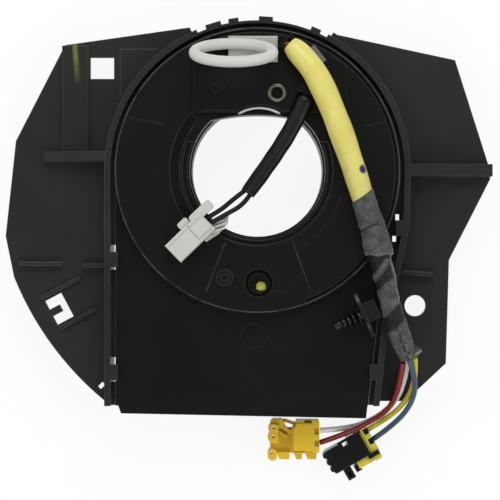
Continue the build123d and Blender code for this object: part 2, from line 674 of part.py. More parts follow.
# Plugs, each in its own frame: the wires leave at +x and the head is at -x
PLUG_END = 9.3
PLUG_SIDE = 6.6
PLUG_H = 9.4
PLUG_FOOT = 1.0
SLIDE_Z = 7.0
HEAD_X = -8.6
HEAD_FLOOR = 4.4
RAIL = 0.7
LOCK_FRONT = -0.2
FLANGE_X = 6.6
LOCK_TRAVEL = 2.2
YELLOW_LOW = -5.4
YELLOW_ENTRIES = ((-1.7, 5.5), (2.7, 5.5))
BLACK_LOW = -4.2
BLACK_HEAD_LOW = -3.0
BLACK_ENTRIES = ((4.9, 5.5), (0.9, 5.5))
BLACK_LOCK_TOP = 8.3
YELLOW_PLUG = Pos(13.3, -96.9, 0)
BLACK_PLUG = Pos(34.6, -102.8, 0) * Rot(0, 0, 30)
WHITE_PLUG = Pos(-17.5, -18.2, FACE_Z + FIT) * Rot(0, 0, 44.2)


def post(x, y, radius, high):
    """A round post or lobe on a plug."""
    return Pos(x, y, PLUG_FOOT) * Cylinder(radius, high - PLUG_FOOT, align=UP)


def plug_body(low, head_low, entries):
    """What both squib plugs share: the wire end under the lock's slide, and the head's floor."""
    body = block(-1.0, PLUG_END, low, PLUG_SIDE, 0, SLIDE_Z)
    body = fillet(body.edges().filter_by(Axis.Z).group_by(Axis.X)[-1], 0.8)
    body += block(HEAD_X, 0, head_low, 4.8, PLUG_FOOT, HEAD_FLOOR)
    rail_end = FLANGE_X - LOCK_TRAVEL - 2 * FIT
    body += block(-0.3, rail_end, PLUG_SIDE - RAIL, PLUG_SIDE, SLIDE_Z - 1, PLUG_H)
    corner = ((-3.1, PLUG_SIDE + 1), (0.9, PLUG_SIDE + 1), (0.9, 6.2), (-0.6, 3.6), (-3.1, 3.6))
    body -= slab(corner, -1, PLUG_H + 1)
    for y, z in entries:
        body -= Pos(PLUG_END - 2.0, y, z) * Rot(0, 90, 0) * Cylinder(WIRE_D / 2 + FIT, 4, align=UP)
    return body


def grip_tooth(x, width, low):
    """A slanted tooth on a plug's side."""
    left, right = x - width / 2, x + width / 2
    tooth = slab(((left - 1.1, low + 0.4), (right, low + 0.4), (right, low - 2.3), (left, low - 2.3)),
                 PLUG_FOOT, SLIDE_Z - 0.2)
    return fillet(tooth.edges().filter_by(Axis.Z).group_by(Axis.Y)[0], 0.4)


def yellow_plug():
    """The yellow plug: a nose with two test holes, four lobes, two slanted ribs and grip teeth."""
    body = plug_body(YELLOW_LOW, YELLOW_LOW, YELLOW_ENTRIES)
    body += block(-0.3, FLANGE_X - LOCK_TRAVEL - 2 * FIT, YELLOW_LOW, YELLOW_LOW + 0.5, SLIDE_Z - 1, PLUG_H)
    body += block(-8.3, -5.6, -1.6, 5.0, PLUG_FOOT, 8.8)
    for x, y in ((-7.4, 3.5), (-7.6, 0.4)):
        body += post(x, y, 1.9, 8.8)
    for x, y in ((-6.9, 5.3), (-5.1, 5.3), (-7.8, -5.5), (-7.8, -6.4)):
        body += post(x, y, 1.75, 7.4)
    body += bar(-2.4, 3.0, -31.0, 4.6, 1.2, PLUG_FOOT, SLIDE_Z - 0.2)
    body += bar(-4.3, 1.6, -31.0, 4.2, 0.9, PLUG_FOOT, SLIDE_Z - 0.7)
    body += bar(-1.6, 5.7, -19.0, 4.6, 1.0, PLUG_FOOT, 5.0)
    for x, width in ((-3.4, 3.6), (1.9, 2.0), (6.6, 3.2)):
        body += grip_tooth(x, width, YELLOW_LOW)
    for x, y in ((-7.3, 3.9), (-7.5, 0.7), (-8.1, -5.3)):
        body -= post(x, y, 0.5, 12.0)
    return YELLOW_PLUG * body


def black_plug():
    """The black plug: a solid head, a bridge over its lock, and two lugs on its side."""
    body = plug_body(BLACK_LOW, BLACK_HEAD_LOW, BLACK_ENTRIES)
    top = BLACK_LOCK_TOP + FIT + 1.2
    head = block(HEAD_X - 0.2, -2.8, BLACK_HEAD_LOW, 6.0, PLUG_FOOT, top)
    body += fillet(head.edges().filter_by(Axis.Z), 0.8)
    body += block(-3.0, 6.0, BLACK_HEAD_LOW, PLUG_SIDE, BLACK_LOCK_TOP + FIT, top)
    body += block(4.5, 8.9, BLACK_HEAD_LOW - 1.4, BLACK_HEAD_LOW + 0.2, BLACK_LOCK_TOP + FIT, top)
    for y in (4.5, 1.7, -1.1):
        body += post(HEAD_X, y, 1.1, top - 1.2)
    body += block(-5.8, -2.8, -7.6, BLACK_HEAD_LOW + 0.2, PLUG_FOOT, 8.4)
    body -= block(-5.0, -3.6, -6.8, -4.6, 5.0, 9.0)
    body += block(-1.8, 0.4, -6.6, BLACK_LOW + 0.2, PLUG_FOOT, SLIDE_Z - 0.2)
    body -= block(-1.4, 0.5, 4.3, 5.6, -1, top + 1)
    return BLACK_PLUG * body


def plug_lock(low, top, entries):
    """A plug's secondary lock: a plate in the slide, and a flange notched for each wire."""
    bottom = SLIDE_Z + FIT
    side = PLUG_SIDE - RAIL - FIT
    plate = slab(((LOCK_FRONT, low), (FLANGE_X, low), (FLANGE_X, side), (1.2, side), (LOCK_FRONT, 3.4)),
                 bottom, top)
    flange = block(FLANGE_X - 0.1, PLUG_END - 0.1, low - 0.4, PLUG_SIDE + 0.2, bottom, top + 0.2)
    lock = plate + fillet(flange.edges().filter_by(Axis.Z).group_by(Axis.X)[-1], 0.9)
    for y, _ in entries:
        lock -= block(PLUG_END - 1.8, PLUG_END, y - 1.1, y + 1.1, 0, top + 1)
    return lock


def white_plug():
    """The two-way housing on the black lead: a long flap, a nub, and a grip with stepped ribs."""
    body = block(-17.0, 0, -3.9, 4.3, 0, 7.0)
    body = fillet(body.edges().filter_by(Axis.X), 0.7)
    body -= block(-18.0, -6.0, 2.9, 5.0, 6.5, 8.0)
    body += block(-6.4, -0.4, -2.4, 2.6, 6.9, 7.6)
    flap = block(-4.3, 5.4, 2.2, 5.7, 0.4, 6.8)
    body += fillet(flap.edges().filter_by(Axis.Z), 1.0)
    nub = block(-9.0, -4.7, 3.9, 6.7, 1.2, 5.6)
    body += fillet(nub.edges().filter_by(Axis.Z).group_by(Axis.Y)[-1], 0.8)
    grip = ((-5.6, -3.6), (-5.2, -4.9), (-0.4, -5.9), (4.5, -5.4), (6.6, -3.7), (3.4, -1.8), (-0.4, -1.8))
    body += slab(grip, 0.4, 1.7)
    for x, y, length, top in ((2.4, -2.8, 6.4, 2.1), (1.8, -3.9, 6.0, 2.8), (0.4, -4.8, 5.0, 3.5)):
        body += bar(x, y, -26.0, length, 0.8, 0.4, top)
    body += block(-5.6, -2.4, -4.9, -3.4, 0.4, 4.2)
    body -= block(-18.0, -12.0, -2.8, 2.8, 1.2, 5.6)
    return WHITE_PLUG * body


def fir_tree_clip():
    """The push-in clip taped to the harness: foot, oval flange and a finned stem."""
    place = Pos(38.0, -50.8, 29.6) * Rot(0, 0, 204.0)
    flange = place * Rot(0, 90, 0) * extrude(Ellipse(4.2, 9.0), amount=1.2)
    foot = place * Pos(-4.6, 0, -2.6) * Box(5.0, 7.0, 5.2, align=(Align.MIN, Align.CENTER, Align.MIN))
    stem = place * Rot(0, 90, 0) * Cylinder(1.5, 11.5, align=UP)
    clip = flange + foot + stem
    for fin in range(5):
        reach = 3.6 - 0.35 * fin
        cone = Cone(reach, reach * 0.45, 1.3, align=UP)
        clip += place * Pos(2.6 + 1.9 * fin, 0, 0) * Rot(0, 90, 0) * cone
    return clip


def nodes():
    """Every piece by its node name."""
    places = roller_places()
    pieces = {
        "shroud_frame": shroud_frame(),
        "stator_cover": stator_cover(),
        "stator_housing": stator_housing(),
        "connector_block": connector_block(),
        "connector_pins": connector_pins(),
        "slip_sheet": slip_sheet(),
        "ribbon_cable": ribbon_cable(),
        "roller_carrier": roller_carrier(),
        "roller_marked": roller(places[0], MARKER_H),
        "roller_a": roller(places[1], ROLLER_H),
        "roller_b": roller(places[2], ROLLER_H),
        "roller_c": roller(places[3], ROLLER_H),
        "rotor": rotor(),
        "sleeve_retainer": sleeve_retainer(),
        "terminal_block": terminal_block(),
        "terminal_cover": terminal_cover(),
        "terminal_latch": terminal_latch(),
        "lock_tab": lock_tab(),
        "yellow_plug": yellow_plug(),
        "yellow_plug_lock": YELLOW_PLUG * plug_lock(YELLOW_LOW + 0.8, PLUG_H, YELLOW_ENTRIES),
        "black_plug": black_plug(),
        "black_plug_lock": BLACK_PLUG * plug_lock(BLACK_LOW - 1.6, BLACK_LOCK_TOP, BLACK_ENTRIES),
        "white_plug": white_plug(),
        "fir_tree_clip": fir_tree_clip(),
    }
    for name, (points, diameter) in harness_cords().items():
        solid, path, radii = cord(points, diameter)
        pieces[name] = solid
        ideal = pi * diameter ** 2 / 4 * path.length
        print(name, "length", round(path.length, 1), "volume ratio", round(solid.volume / ideal, 4),
              "radii", [round(r, 1) for r in radii])
    return pieces


os.makedirs("parts", exist_ok=True)
for name, piece in nodes().items():
    export_step(piece, "parts/" + name + ".step")
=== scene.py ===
"""The looks of a steering clock spring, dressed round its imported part.

It keeps the part's own frame: Z is the steering axis and the part lies on its back.
Routes, places and sizes on the part are written in millimetres and scaled by MM. The
floor and the lamps are in metres.
"""
import bpy
import numpy as np
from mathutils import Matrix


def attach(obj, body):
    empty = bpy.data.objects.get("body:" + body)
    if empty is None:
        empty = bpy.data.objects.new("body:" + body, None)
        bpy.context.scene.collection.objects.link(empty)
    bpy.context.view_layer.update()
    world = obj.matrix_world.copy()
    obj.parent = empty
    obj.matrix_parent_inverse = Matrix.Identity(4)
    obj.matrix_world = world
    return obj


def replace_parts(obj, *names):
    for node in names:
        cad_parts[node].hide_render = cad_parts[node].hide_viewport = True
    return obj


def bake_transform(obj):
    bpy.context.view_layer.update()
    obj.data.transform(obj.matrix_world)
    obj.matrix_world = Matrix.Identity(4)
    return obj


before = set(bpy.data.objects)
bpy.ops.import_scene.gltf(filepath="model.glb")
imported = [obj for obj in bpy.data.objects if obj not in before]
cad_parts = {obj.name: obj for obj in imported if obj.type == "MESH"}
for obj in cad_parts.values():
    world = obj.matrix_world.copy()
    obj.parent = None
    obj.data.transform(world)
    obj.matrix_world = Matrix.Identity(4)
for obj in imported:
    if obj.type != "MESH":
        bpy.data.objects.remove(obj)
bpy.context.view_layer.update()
MM = 0.001

# Camera: straight over the part, at the photograph's angle
CAMERA_PLACE = (-2.66, -28.4, 776.0)
CAMERA_LENS = 152.1
CAMERA_SENSOR = 36.0
CAMERA_NEAR = 0.01

# Cords, with the same points as the part's source
YELLOW_SLEEVE = ((11.4, 44.0, 33.2), (17.6, 38.2, 34.0), (23.4, 28.3, 34.0), (31.1, 9.3, 32.0),
                 (36.8, -8.6, 31.0))
TAPE = ((36.8, -8.6, 31.0), (41.36, -22.92, 30.2), (45.4, -39.6, 30.3), (48.2, -53.9, 29.6),
        (53.4, -66.8, 27.6))
RED = ((51.5, -68.3, 27.8), (50.8, -76.5, 24.0), (47.4, -86.0, 16.5), (39.6, -91.2, 11.5),
       (31.0, -95.6, 8.4), (22.9, -98.6, 5.5))
WHITE = ((53.3, -67.3, 25.9), (52.6, -76.0, 21.3), (48.8, -84.5, 14.0), (41.5, -90.5, 7.2),
         (32.5, -93.6, 5.8), (22.9, -94.2, 5.5))
YELLOW = ((55.7, -66.6, 27.5), (56.6, -75.0, 22.4), (53.0, -83.6, 15.6), (47.2, -89.4, 9.6),
          (40.4, -93.8, 5.5))
BLUE = ((53.6, -67.1, 29.1), (56.0, -73.5, 27.0), (56.0, -82.0, 20.0), (50.6, -90.9, 11.4),
        (42.5, -97.2, 5.5))
BLACK_LEAD = ((17.6, 26.4, 29.3), (13.6, 16.9, 29.3), (5.2, 3.5, 29.4), (-2.7, -7.2, 29.4))
LEAD_WIRE_A = ((-3.8, -6.9, 29.7), (-8.4, -10.3, 29.8), (-13.0, -14.4, 29.9), (-17.6, -16.9, 30.0))
LEAD_WIRE_B = ((-2.3, -8.3, 29.1), (-4.8, -12.3, 29.2), (-11.2, -15.8, 29.6), (-16.4, -18.8, 30.0))
WIRE_D = 2.0
LEAD_WIRE_D = 1.7
LEAD_D = 5.7
SLEEVE_D = 8.6

# Places and sizes that the finishes follow
DATE_WHEEL = (-11.6, -38.2)
WHEEL_RINGS = (2.9, 1.3)
WHEEL_TICKS = 2.2
ROTOR_SEAMS = (
    ((-11.5, -25.9), (-18.2, -43.0)),
    ((12.3, -24.9), (19.0, -43.4)),
)
SEAM_HALF_WIDTH, SEAM_SOFT = 0.16, 0.1
CALM_HALF_WIDTH, CALM_SOFT = 0.9, 0.2
RIM_INNER, RIM_OUTER = 50.15, 50.45
# Heights below which the rotor is painted darker, as painted shade in its recess
ROTOR_RECESS_SHADE = (25.5, 25.8)
ROTOR_CROWN = 26.1
CROWN_SOFT = 0.05
# Heights below which the lock's foot is painted a darker grey, as painted shade under its ring
LOCK_FOOT_SHADE = (30.2, 31.0)
STROKE_TOP, STROKE_FOOT = (-65.8, 46.5), (-64.8, 32.5)
STROKE_HALF_WIDTH, STROKE_SOFT = 0.8, 0.4
INK_DOT = (36.9, 0.0, 34.6)
INK_INNER, INK_OUTER, INK_BLEED = 1.6, 2.2, 0.7
SLEEVE_CLEAN_Y, SLEEVE_DULL_Y = 8.0, -6.0
COPPER_PITCH = 1.9
GRAIN_DEPTH = 0.05
WRINKLE_DEPTH = 0.4
WEAVE_DEPTH = 0.12


def make_camera():
    """The camera over the part, looking down the steering axis with +Y up."""
    data = bpy.data.cameras.new("camera")
    data.lens = CAMERA_LENS
    data.sensor_width = CAMERA_SENSOR
    data.clip_start = CAMERA_NEAR
    camera = bpy.data.objects.new("camera", data)
    camera.location = [v * MM for v in CAMERA_PLACE]
    bpy.context.scene.collection.objects.link(camera)
    bpy.context.scene.camera = camera


make_camera()


# Node trees
NUMBER = "NodeSocketFloat"
VECTOR = "NodeSocketVector"
MEASURES = ("DOT_PRODUCT", "LENGTH", "DISTANCE")
MIX_A, MIX_B, MIX_RESULT = 6, 7, 2


def fill(tree, node, inputs):
    """Fills a node's inputs, by name or number: a socket is linked, and a value is set."""
    for key, value in inputs.items():
        if isinstance(value, bpy.types.NodeSocket):
            tree.links.new(value, node.inputs[key])
        else:
            node.inputs[key].default_value = value


def add(tree, kind, inputs=None, **settings):
    """Adds a node with its settings, and fills its inputs."""
    node = tree.nodes.new(kind)
    for name, value in settings.items():
        setattr(node, name, value)
    fill(tree, node, inputs or {})
    return node


def placed(tree, shared, **values):
    """A shared group placed in a tree with its own values, and its outputs."""
    return add(tree, "ShaderNodeGroup", values, node_tree=shared).outputs


def maths(tree, operation, a, b=0.0, clamp=False):
    """The result of one operation on two numbers or sockets."""
    node = add(tree, "ShaderNodeMath", {0: a, 1: b}, operation=operation, use_clamp=clamp)
    return node.outputs[0]


def vector_maths(tree, operation, a, b=(0.0, 0.0, 0.0)):
    """The result of one operation on two vectors: a number where it measures, else a vector."""
    node = add(tree, "ShaderNodeVectorMath", {0: a, 1: b}, operation=operation)
    return node.outputs["Value" if operation in MEASURES else "Vector"]


def span(tree, value, low, high, to_low=0.0, to_high=1.0):
    """A value carried from one range to another, and held inside it."""
    inputs = {"Value": value, "From Min": low, "From Max": high,
              "To Min": to_low, "To Max": to_high}
    return add(tree, "ShaderNodeMapRange", inputs).outputs[0]


def blended(tree, factor, a, b):
    """Two colours mixed by a mask."""
    inputs = {"Factor": factor, MIX_A: a, MIX_B: b}
    return add(tree, "ShaderNodeMix", inputs, data_type="RGBA").outputs[MIX_RESULT]


def noise(tree, place, scale, **inputs):
    """A noise's value at a place."""
    node = add(tree, "ShaderNodeTexNoise", {"Vector": place, "Scale": scale, **inputs})
    return node.outputs["Fac"]


def relief(tree, height, strength, depth, **inputs):
    """A bumped normal, from a height of so many millimetres."""
    bump = {"Height": height, "Strength": strength, "Distance": depth * MM, **inputs}
    return add(tree, "ShaderNodeBump", bump).outputs[0]


def per_metre(tree, size):
    """How many of a size in millimetres go into a metre, as a noise's scale."""
    return maths(tree, "DIVIDE", 1.0 / MM, size)


def object_place(tree):
    """The shaded point's place in the part's frame."""
    return add(tree, "ShaderNodeTexCoord").outputs["Object"]


def axis_of(tree, vector, axis):
    """A vector's number along one axis: 0, 1 or 2 for x, y or z."""
    return add(tree, "ShaderNodeSeparateXYZ", {0: vector}).outputs[axis]


def attribute(tree, name):
    """A mask that is written on the piece's points."""
    return add(tree, "ShaderNodeAttribute", attribute_name=name).outputs["Fac"]


def group(name, inputs, outputs):
    """An empty node group with its named inputs and outputs, and its two end nodes.

    An input's value is the number that it starts with. A Vector has none.
    """
    tree = bpy.data.node_groups.new(name, "ShaderNodeTree")
    for label, value in inputs.items():
        kind = VECTOR if label == "Vector" else NUMBER
        socket = tree.interface.new_socket(label, in_out="INPUT", socket_type=kind)
        if kind == NUMBER:
            socket.default_value = value
    for label, kind in outputs.items():
        tree.interface.new_socket(label, in_out="OUTPUT", socket_type=kind)
    return tree, tree.nodes.new("NodeGroupInput"), tree.nodes.new("NodeGroupOutput")


def grain_group():
    """The fine grain of a spark-eroded mould, and the slow mottle of a large moulding.

    Grain and Patch are the widths of a grain and of a patch, in millimetres.
    """
    tree, start, end = group("moulded_grain", {"Grain": 0.35, "Patch": 22.0},
                             {"Height": NUMBER, "Mottle": NUMBER})
    place = object_place(tree)
    fine = noise(tree, place, per_metre(tree, start.outputs["Grain"]), Detail=2.0, Roughness=0.6)
    slow = noise(tree, place, per_metre(tree, start.outputs["Patch"]), Detail=3.0, Distortion=0.6)
    fill(tree, end, {"Height": fine, "Mottle": span(tree, slow, 0.35, 0.7)})
    return tree


def scuff_group():
    """Short scratches in two directions and small rubs, as parts get in a bin."""
    tree, start, end = group("handling_scuffs", {"Amount": 0.5, "Size": 9.0}, {"Mask": NUMBER})
    place = object_place(tree)
    scale = per_metre(tree, start.outputs["Size"])
    scratches = []
    for turn, stretch in ((0.35, 12.0), (-1.1, 16.0)):
        turned = add(tree, "ShaderNodeMapping", {"Vector": place, "Rotation": (0.0, 0.0, turn),
                                                 "Scale": (1.0, stretch, 1.0)})
        lines = noise(tree, turned.outputs[0], scale, Detail=4.0, Roughness=0.7)
        scratches.append(span(tree, lines, 0.65, 0.78))
    rubs = noise(tree, place, maths(tree, "MULTIPLY", scale, 0.5), Detail=6.0)
    where = span(tree, rubs, 0.52, 0.68)
    shown = maths(tree, "MULTIPLY", maths(tree, "MAXIMUM", *scratches), where)
    fill(tree, end, {"Mask": maths(tree, "MULTIPLY", shown, start.outputs["Amount"], clamp=True)})
    return tree


def edge_group():
    """A rounded normal at hard edges, and a mask of how far the edge turns."""
    tree, start, end = group("soft_edge", {"Radius": 0.3}, {"Normal": VECTOR, "Mask": NUMBER})
    radius = maths(tree, "MULTIPLY", start.outputs["Radius"], MM)
    rounded = add(tree, "ShaderNodeBevel", {"Radius": radius}, samples=6).outputs["Normal"]
    flat = add(tree, "ShaderNodeNewGeometry").outputs["Normal"]
    facing = vector_maths(tree, "DOT_PRODUCT", rounded, flat)
    fill(tree, end, {"Normal": rounded, "Mask": span(tree, facing, 0.995, 0.8)})
    return tree


def weave_group():
    """A plain weave on the piece's own map: two crossing waves, over and under in turn.

    Row is the wave along the piece alone, for the rows of thread.
    """
    tree, start, end = group("plain_weave", {"Vector": None, "Pitch": 0.5},
                             {"Height": NUMBER, "Row": NUMBER})
    turns = maths(tree, "DIVIDE", 2 * np.pi, start.outputs["Pitch"])
    waves = []
    for axis in (0, 1):
        place = axis_of(tree, start.outputs["Vector"], axis)
        waves.append(maths(tree, "SINE", maths(tree, "MULTIPLY", place, turns)))
    height = span(tree, maths(tree, "MULTIPLY", *waves), -1.0, 1.0)
    fill(tree, end, {"Height": height, "Row": span(tree, waves[1], -0.5, 0.9)})
    return tree


def flat_place(tree, origin=(0.0, 0.0)):
    """The shaded point's place in the plane, in metres from an origin given in millimetres."""
    away = vector_maths(tree, "SUBTRACT", object_place(tree), (origin[0] * MM, origin[1] * MM, 0.0))
    return vector_maths(tree, "MULTIPLY", away, (1.0, 1.0, 0.0))


def line_mask(tree, start, end, half_width, soft):
    """A mask along a straight line in the plane, and how far along it each point lies.

    The point's share of the line is its place's dot product with the line over the line's
    length squared, held between 0 and 1. The mask falls off with the distance from there.
    """
    run_x, run_y = end[0] - start[0], end[1] - start[1]
    away = flat_place(tree, start)
    dot = vector_maths(tree, "DOT_PRODUCT", away, (run_x, run_y, 0.0))
    share = maths(tree, "DIVIDE", dot, (run_x ** 2 + run_y ** 2) * MM, clamp=True)
    foot = add(tree, "ShaderNodeVectorMath", {0: (run_x * MM, run_y * MM, 0.0), "Scale": share},
               operation="SCALE").outputs[0]
    gap = vector_maths(tree, "LENGTH", vector_maths(tree, "SUBTRACT", away, foot))
    return span(tree, gap, (half_width + soft) * MM, (half_width - soft) * MM), share


def ring_mask(tree, reach, radius, half_width, soft):
    """A mask round a ring, from each point's reach from the ring's centre."""
    off = maths(tree, "ABSOLUTE", maths(tree, "SUBTRACT", reach, radius * MM))
    return span(tree, off, (half_width + soft) * MM, (half_width - soft) * MM)


def date_wheel_group():
    """A mould's date wheel, with no writing: two rings and twelve ticks about its centre."""
    tree, _, end = group("date_wheel", {}, {"Mask": NUMBER})
    away = flat_place(tree, DATE_WHEEL)
    reach = vector_maths(tree, "LENGTH", away)
    turn = maths(tree, "ARCTAN2", axis_of(tree, away, 1), axis_of(tree, away, 0))
    wave = maths(tree, "ABSOLUTE", maths(tree, "SINE", maths(tree, "MULTIPLY", turn, 6.0)))
    ticks = ring_mask(tree, reach, WHEEL_TICKS, 0.3, 0.05)
    mask = maths(tree, "MULTIPLY", span(tree, wave, 0.4, 0.2), ticks)
    for ring_r in WHEEL_RINGS:
        mask = maths(tree, "MAXIMUM", mask, ring_mask(tree, reach, ring_r, 0.15, 0.05))
    fill(tree, end, {"Mask": mask})
    return tree


def seam_group():
    """The mould lines on the rotor's face, painted pale as painted highlights, and a calm mask
    where its edges get no pale edge colour.

    The calm mask runs along each line mirrored about its middle.
    """
    tree, _, end = group("rotor_seams", {}, {"Mask": NUMBER, "Calm": NUMBER})
    shown, calm = 0.0, 0.0
    for low, high in ROTOR_SEAMS:
        line, _ = line_mask(tree, low, high, SEAM_HALF_WIDTH, SEAM_SOFT)
        shown = maths(tree, "MAXIMUM", shown, line)
        line, _ = line_mask(tree, (low[0], high[1]), (high[0], low[1]), CALM_HALF_WIDTH, CALM_SOFT)
        calm = maths(tree, "MAXIMUM", calm, line)
    broken = span(tree, placed(tree, GRAIN, Patch=5.0)["Mottle"], 0.0, 0.5, 0.35, 1.0)
    fill(tree, end, {"Mask": maths(tree, "MULTIPLY", shown, broken), "Calm": calm})
    return tree


def rim_highlight_group():
    """The rotor's rounded rim, painted pale as a painted highlight, broken up along its length."""
    tree, _, end = group("rotor_rim_highlight", {}, {"Mask": NUMBER})
    reach = vector_maths(tree, "LENGTH", flat_place(tree))
    rim = span(tree, reach, RIM_INNER * MM, RIM_OUTER * MM)
    broken = span(tree, placed(tree, GRAIN, Patch=9.0)["Mottle"], 0.0, 0.6, 0.25, 1.0)
    fill(tree, end, {"Mask": maths(tree, "MULTIPLY", rim, broken)})
    return tree


def stroke_group():
    """An inspector's paint stroke on the wing: wide at the top edge, dry and thin at its foot.

    It lies only on what faces the front.
    """
    tree, _, end = group("paint_stroke", {}, {"Mask": NUMBER})
    mask, share = line_mask(tree, STROKE_TOP, STROKE_FOOT, STROKE_HALF_WIDTH, STROKE_SOFT)
    wet = maths(tree, "MULTIPLY", mask, span(tree, share, 0.3, 1.0, 0.8, 0.12))
    dry = span(tree, placed(tree, GRAIN, Grain=1.1, Patch=3.0)["Mottle"], 0.0, 1.0, 1.0, 0.55)
    slope = axis_of(tree, add(tree, "ShaderNodeTexCoord").outputs["Normal"], 2)
    dry = maths(tree, "MULTIPLY", dry, span(tree, slope, 0.3, 0.6))
    fill(tree, end, {"Mask": maths(tree, "MULTIPLY", wet, dry)})
    return tree


GRAIN = grain_group()
SCUFFS = scuff_group()
EDGE = edge_group()
WEAVE = weave_group()
WHEEL = date_wheel_group()
SEAMS = seam_group()
RIM_HIGHLIGHT = rim_highlight_group()
STROKE = stroke_group()


# Finishes
def new_material(name):
    """An empty material, its tree and its shader."""
    material = bpy.data.materials.new(name)
    material.use_nodes = True
    tree = material.node_tree
    return material, tree, tree.nodes["Principled BSDF"]


def colour(r, g, b):
    """A colour that covers fully."""
    return (r, g, b, 1.0)


def plastic(name, base, wear_and_highlight_colour, rough=0.45, specular=0.4, grain=0.35, patch=22.0, bump=0.2,
            edge=0.3, edge_wear_and_highlight=0.5, scuffs=0.4, mottle=0.25, milk=0.0, low=None, crown=None,
            calm=None, marks=()):
    """A moulded plastic: its grain and mottle, pale edges and a few scuffs over its colour. The
    pale edges are partly wear and partly painted highlight.

    Grain, patch and edge are widths in millimetres. Low is a darker second colour, painted
    shade on what lies low, and the two heights between which it gives way to the first.
    Crown is the height above which no pale edge colour shows, and calm a group whose mask
    holds that pale edge colour off. Each mark is a group whose mask is laid on, with a
    colour, a strength and a relief.
    """
    material, tree, shader = new_material(name)
    moulded = placed(tree, GRAIN, Grain=grain, Patch=patch)
    rub = placed(tree, SCUFFS, Amount=scuffs)
    rim = placed(tree, EDGE, Radius=edge)
    height = axis_of(tree, object_place(tree), 2)
    body = colour(*base)
    if low:
        # A darker colour below given heights, as painted shade on what lies low.
        low_shade_colour, low_z, high_z = low
        body = blended(tree, span(tree, height, low_z * MM, high_z * MM), colour(*low_shade_colour), body)
    shade = maths(tree, "MULTIPLY", moulded["Mottle"], mottle)
    body = blended(tree, shade, body, colour(0.0, 0.0, 0.0))
    # The pale edge colour is partly wear and partly painted highlight, broken up by the mottle.
    patchy = span(tree, moulded["Mottle"], 0.0, 1.0, edge_wear_and_highlight, 0.4 * edge_wear_and_highlight)
    wear_and_highlight_mask = maths(tree, "MAXIMUM", maths(tree, "MULTIPLY", rim["Mask"], patchy), rub["Mask"])
    if crown:
        below = span(tree, height, (crown + CROWN_SOFT) * MM, crown * MM)
        wear_and_highlight_mask = maths(tree, "MULTIPLY", wear_and_highlight_mask, below)
    if calm:
        held = maths(tree, "SUBTRACT", 1.0, placed(tree, calm)["Calm"])
        wear_and_highlight_mask = maths(tree, "MULTIPLY", wear_and_highlight_mask, held)
    top = blended(tree, wear_and_highlight_mask, body, colour(*wear_and_highlight_colour))
    raised = moulded["Height"]
    for shared, tint, strength, lift in marks:
        mask = placed(tree, shared)["Mask"]
        top = blended(tree, maths(tree, "MULTIPLY", mask, strength), top, colour(*tint))
        if lift:
            raised = maths(tree, "ADD", raised, maths(tree, "MULTIPLY", mask, lift))
    dulled = maths(tree, "ADD", maths(tree, "MULTIPLY", moulded["Mottle"], 0.12), rough)
    fill(tree, shader, {
        "Base Color": top,
        "Roughness": maths(tree, "ADD", dulled, maths(tree, "MULTIPLY", rub["Mask"], 0.2)),
        "Normal": relief(tree, raised, bump, GRAIN_DEPTH, Normal=rim["Normal"]),
        "Specular IOR Level": specular,
        "Subsurface Weight": milk,
        "Subsurface Radius": (0.0012, 0.0011, 0.0009),
    })
    return material


def sleeve_vinyl():
    """Soft pale yellow tube with fine wrinkles and one ink dot.

    It is painted darker and greener where it turns away from the view, as painted shade, and it is
    duller towards the tape.
    """
    material, tree, shader = new_material("yellow_vinyl")
    place = add(tree, "ShaderNodeTexCoord")
    moulded = placed(tree, GRAIN, Grain=0.8, Patch=9.0)
    body = blended(tree, moulded["Mottle"], colour(0.76, 0.69, 0.19), colour(0.69, 0.60, 0.14))
    along = axis_of(tree, place.outputs["Object"], 1)
    dull = span(tree, along, SLEEVE_CLEAN_Y * MM, SLEEVE_DULL_Y * MM, 0.0, 0.3)
    body = blended(tree, dull, body, colour(0.52, 0.50, 0.2))
    # Painted shade: darker, greener colour where the surface turns away from the view.
    turned = add(tree, "ShaderNodeLayerWeight", {"Blend": 0.35}).outputs["Facing"]
    body = blended(tree, span(tree, turned, 0.45, 0.95, 0.0, 0.75), body, colour(0.50, 0.47, 0.10))
    dot = tuple(v * MM for v in INK_DOT)
    gap = vector_maths(tree, "DISTANCE", place.outputs["Object"], dot)
    gap = maths(tree, "ADD", gap, maths(tree, "MULTIPLY", moulded["Height"], INK_BLEED * MM))
    ink = span(tree, gap, INK_OUTER * MM, INK_INNER * MM)
    drawn = {"Vector": place.outputs["UV"], "Scale": (0.06, 1.0, 1.0)}
    wrinkles = noise(tree, add(tree, "ShaderNodeMapping", drawn).outputs[0], 0.55, Detail=4.0)
    fill(tree, shader, {
        "Base Color": blended(tree, ink, body, colour(0.012, 0.016, 0.11)),
        "Roughness": span(tree, moulded["Mottle"], 0.0, 1.0, 0.36, 0.5),
        "Normal": relief(tree, wrinkles, 0.25, WRINKLE_DEPTH),
        "Subsurface Weight": 0.12,
        "Subsurface Radius": (0.002, 0.0015, 0.0006),
    })
    return material


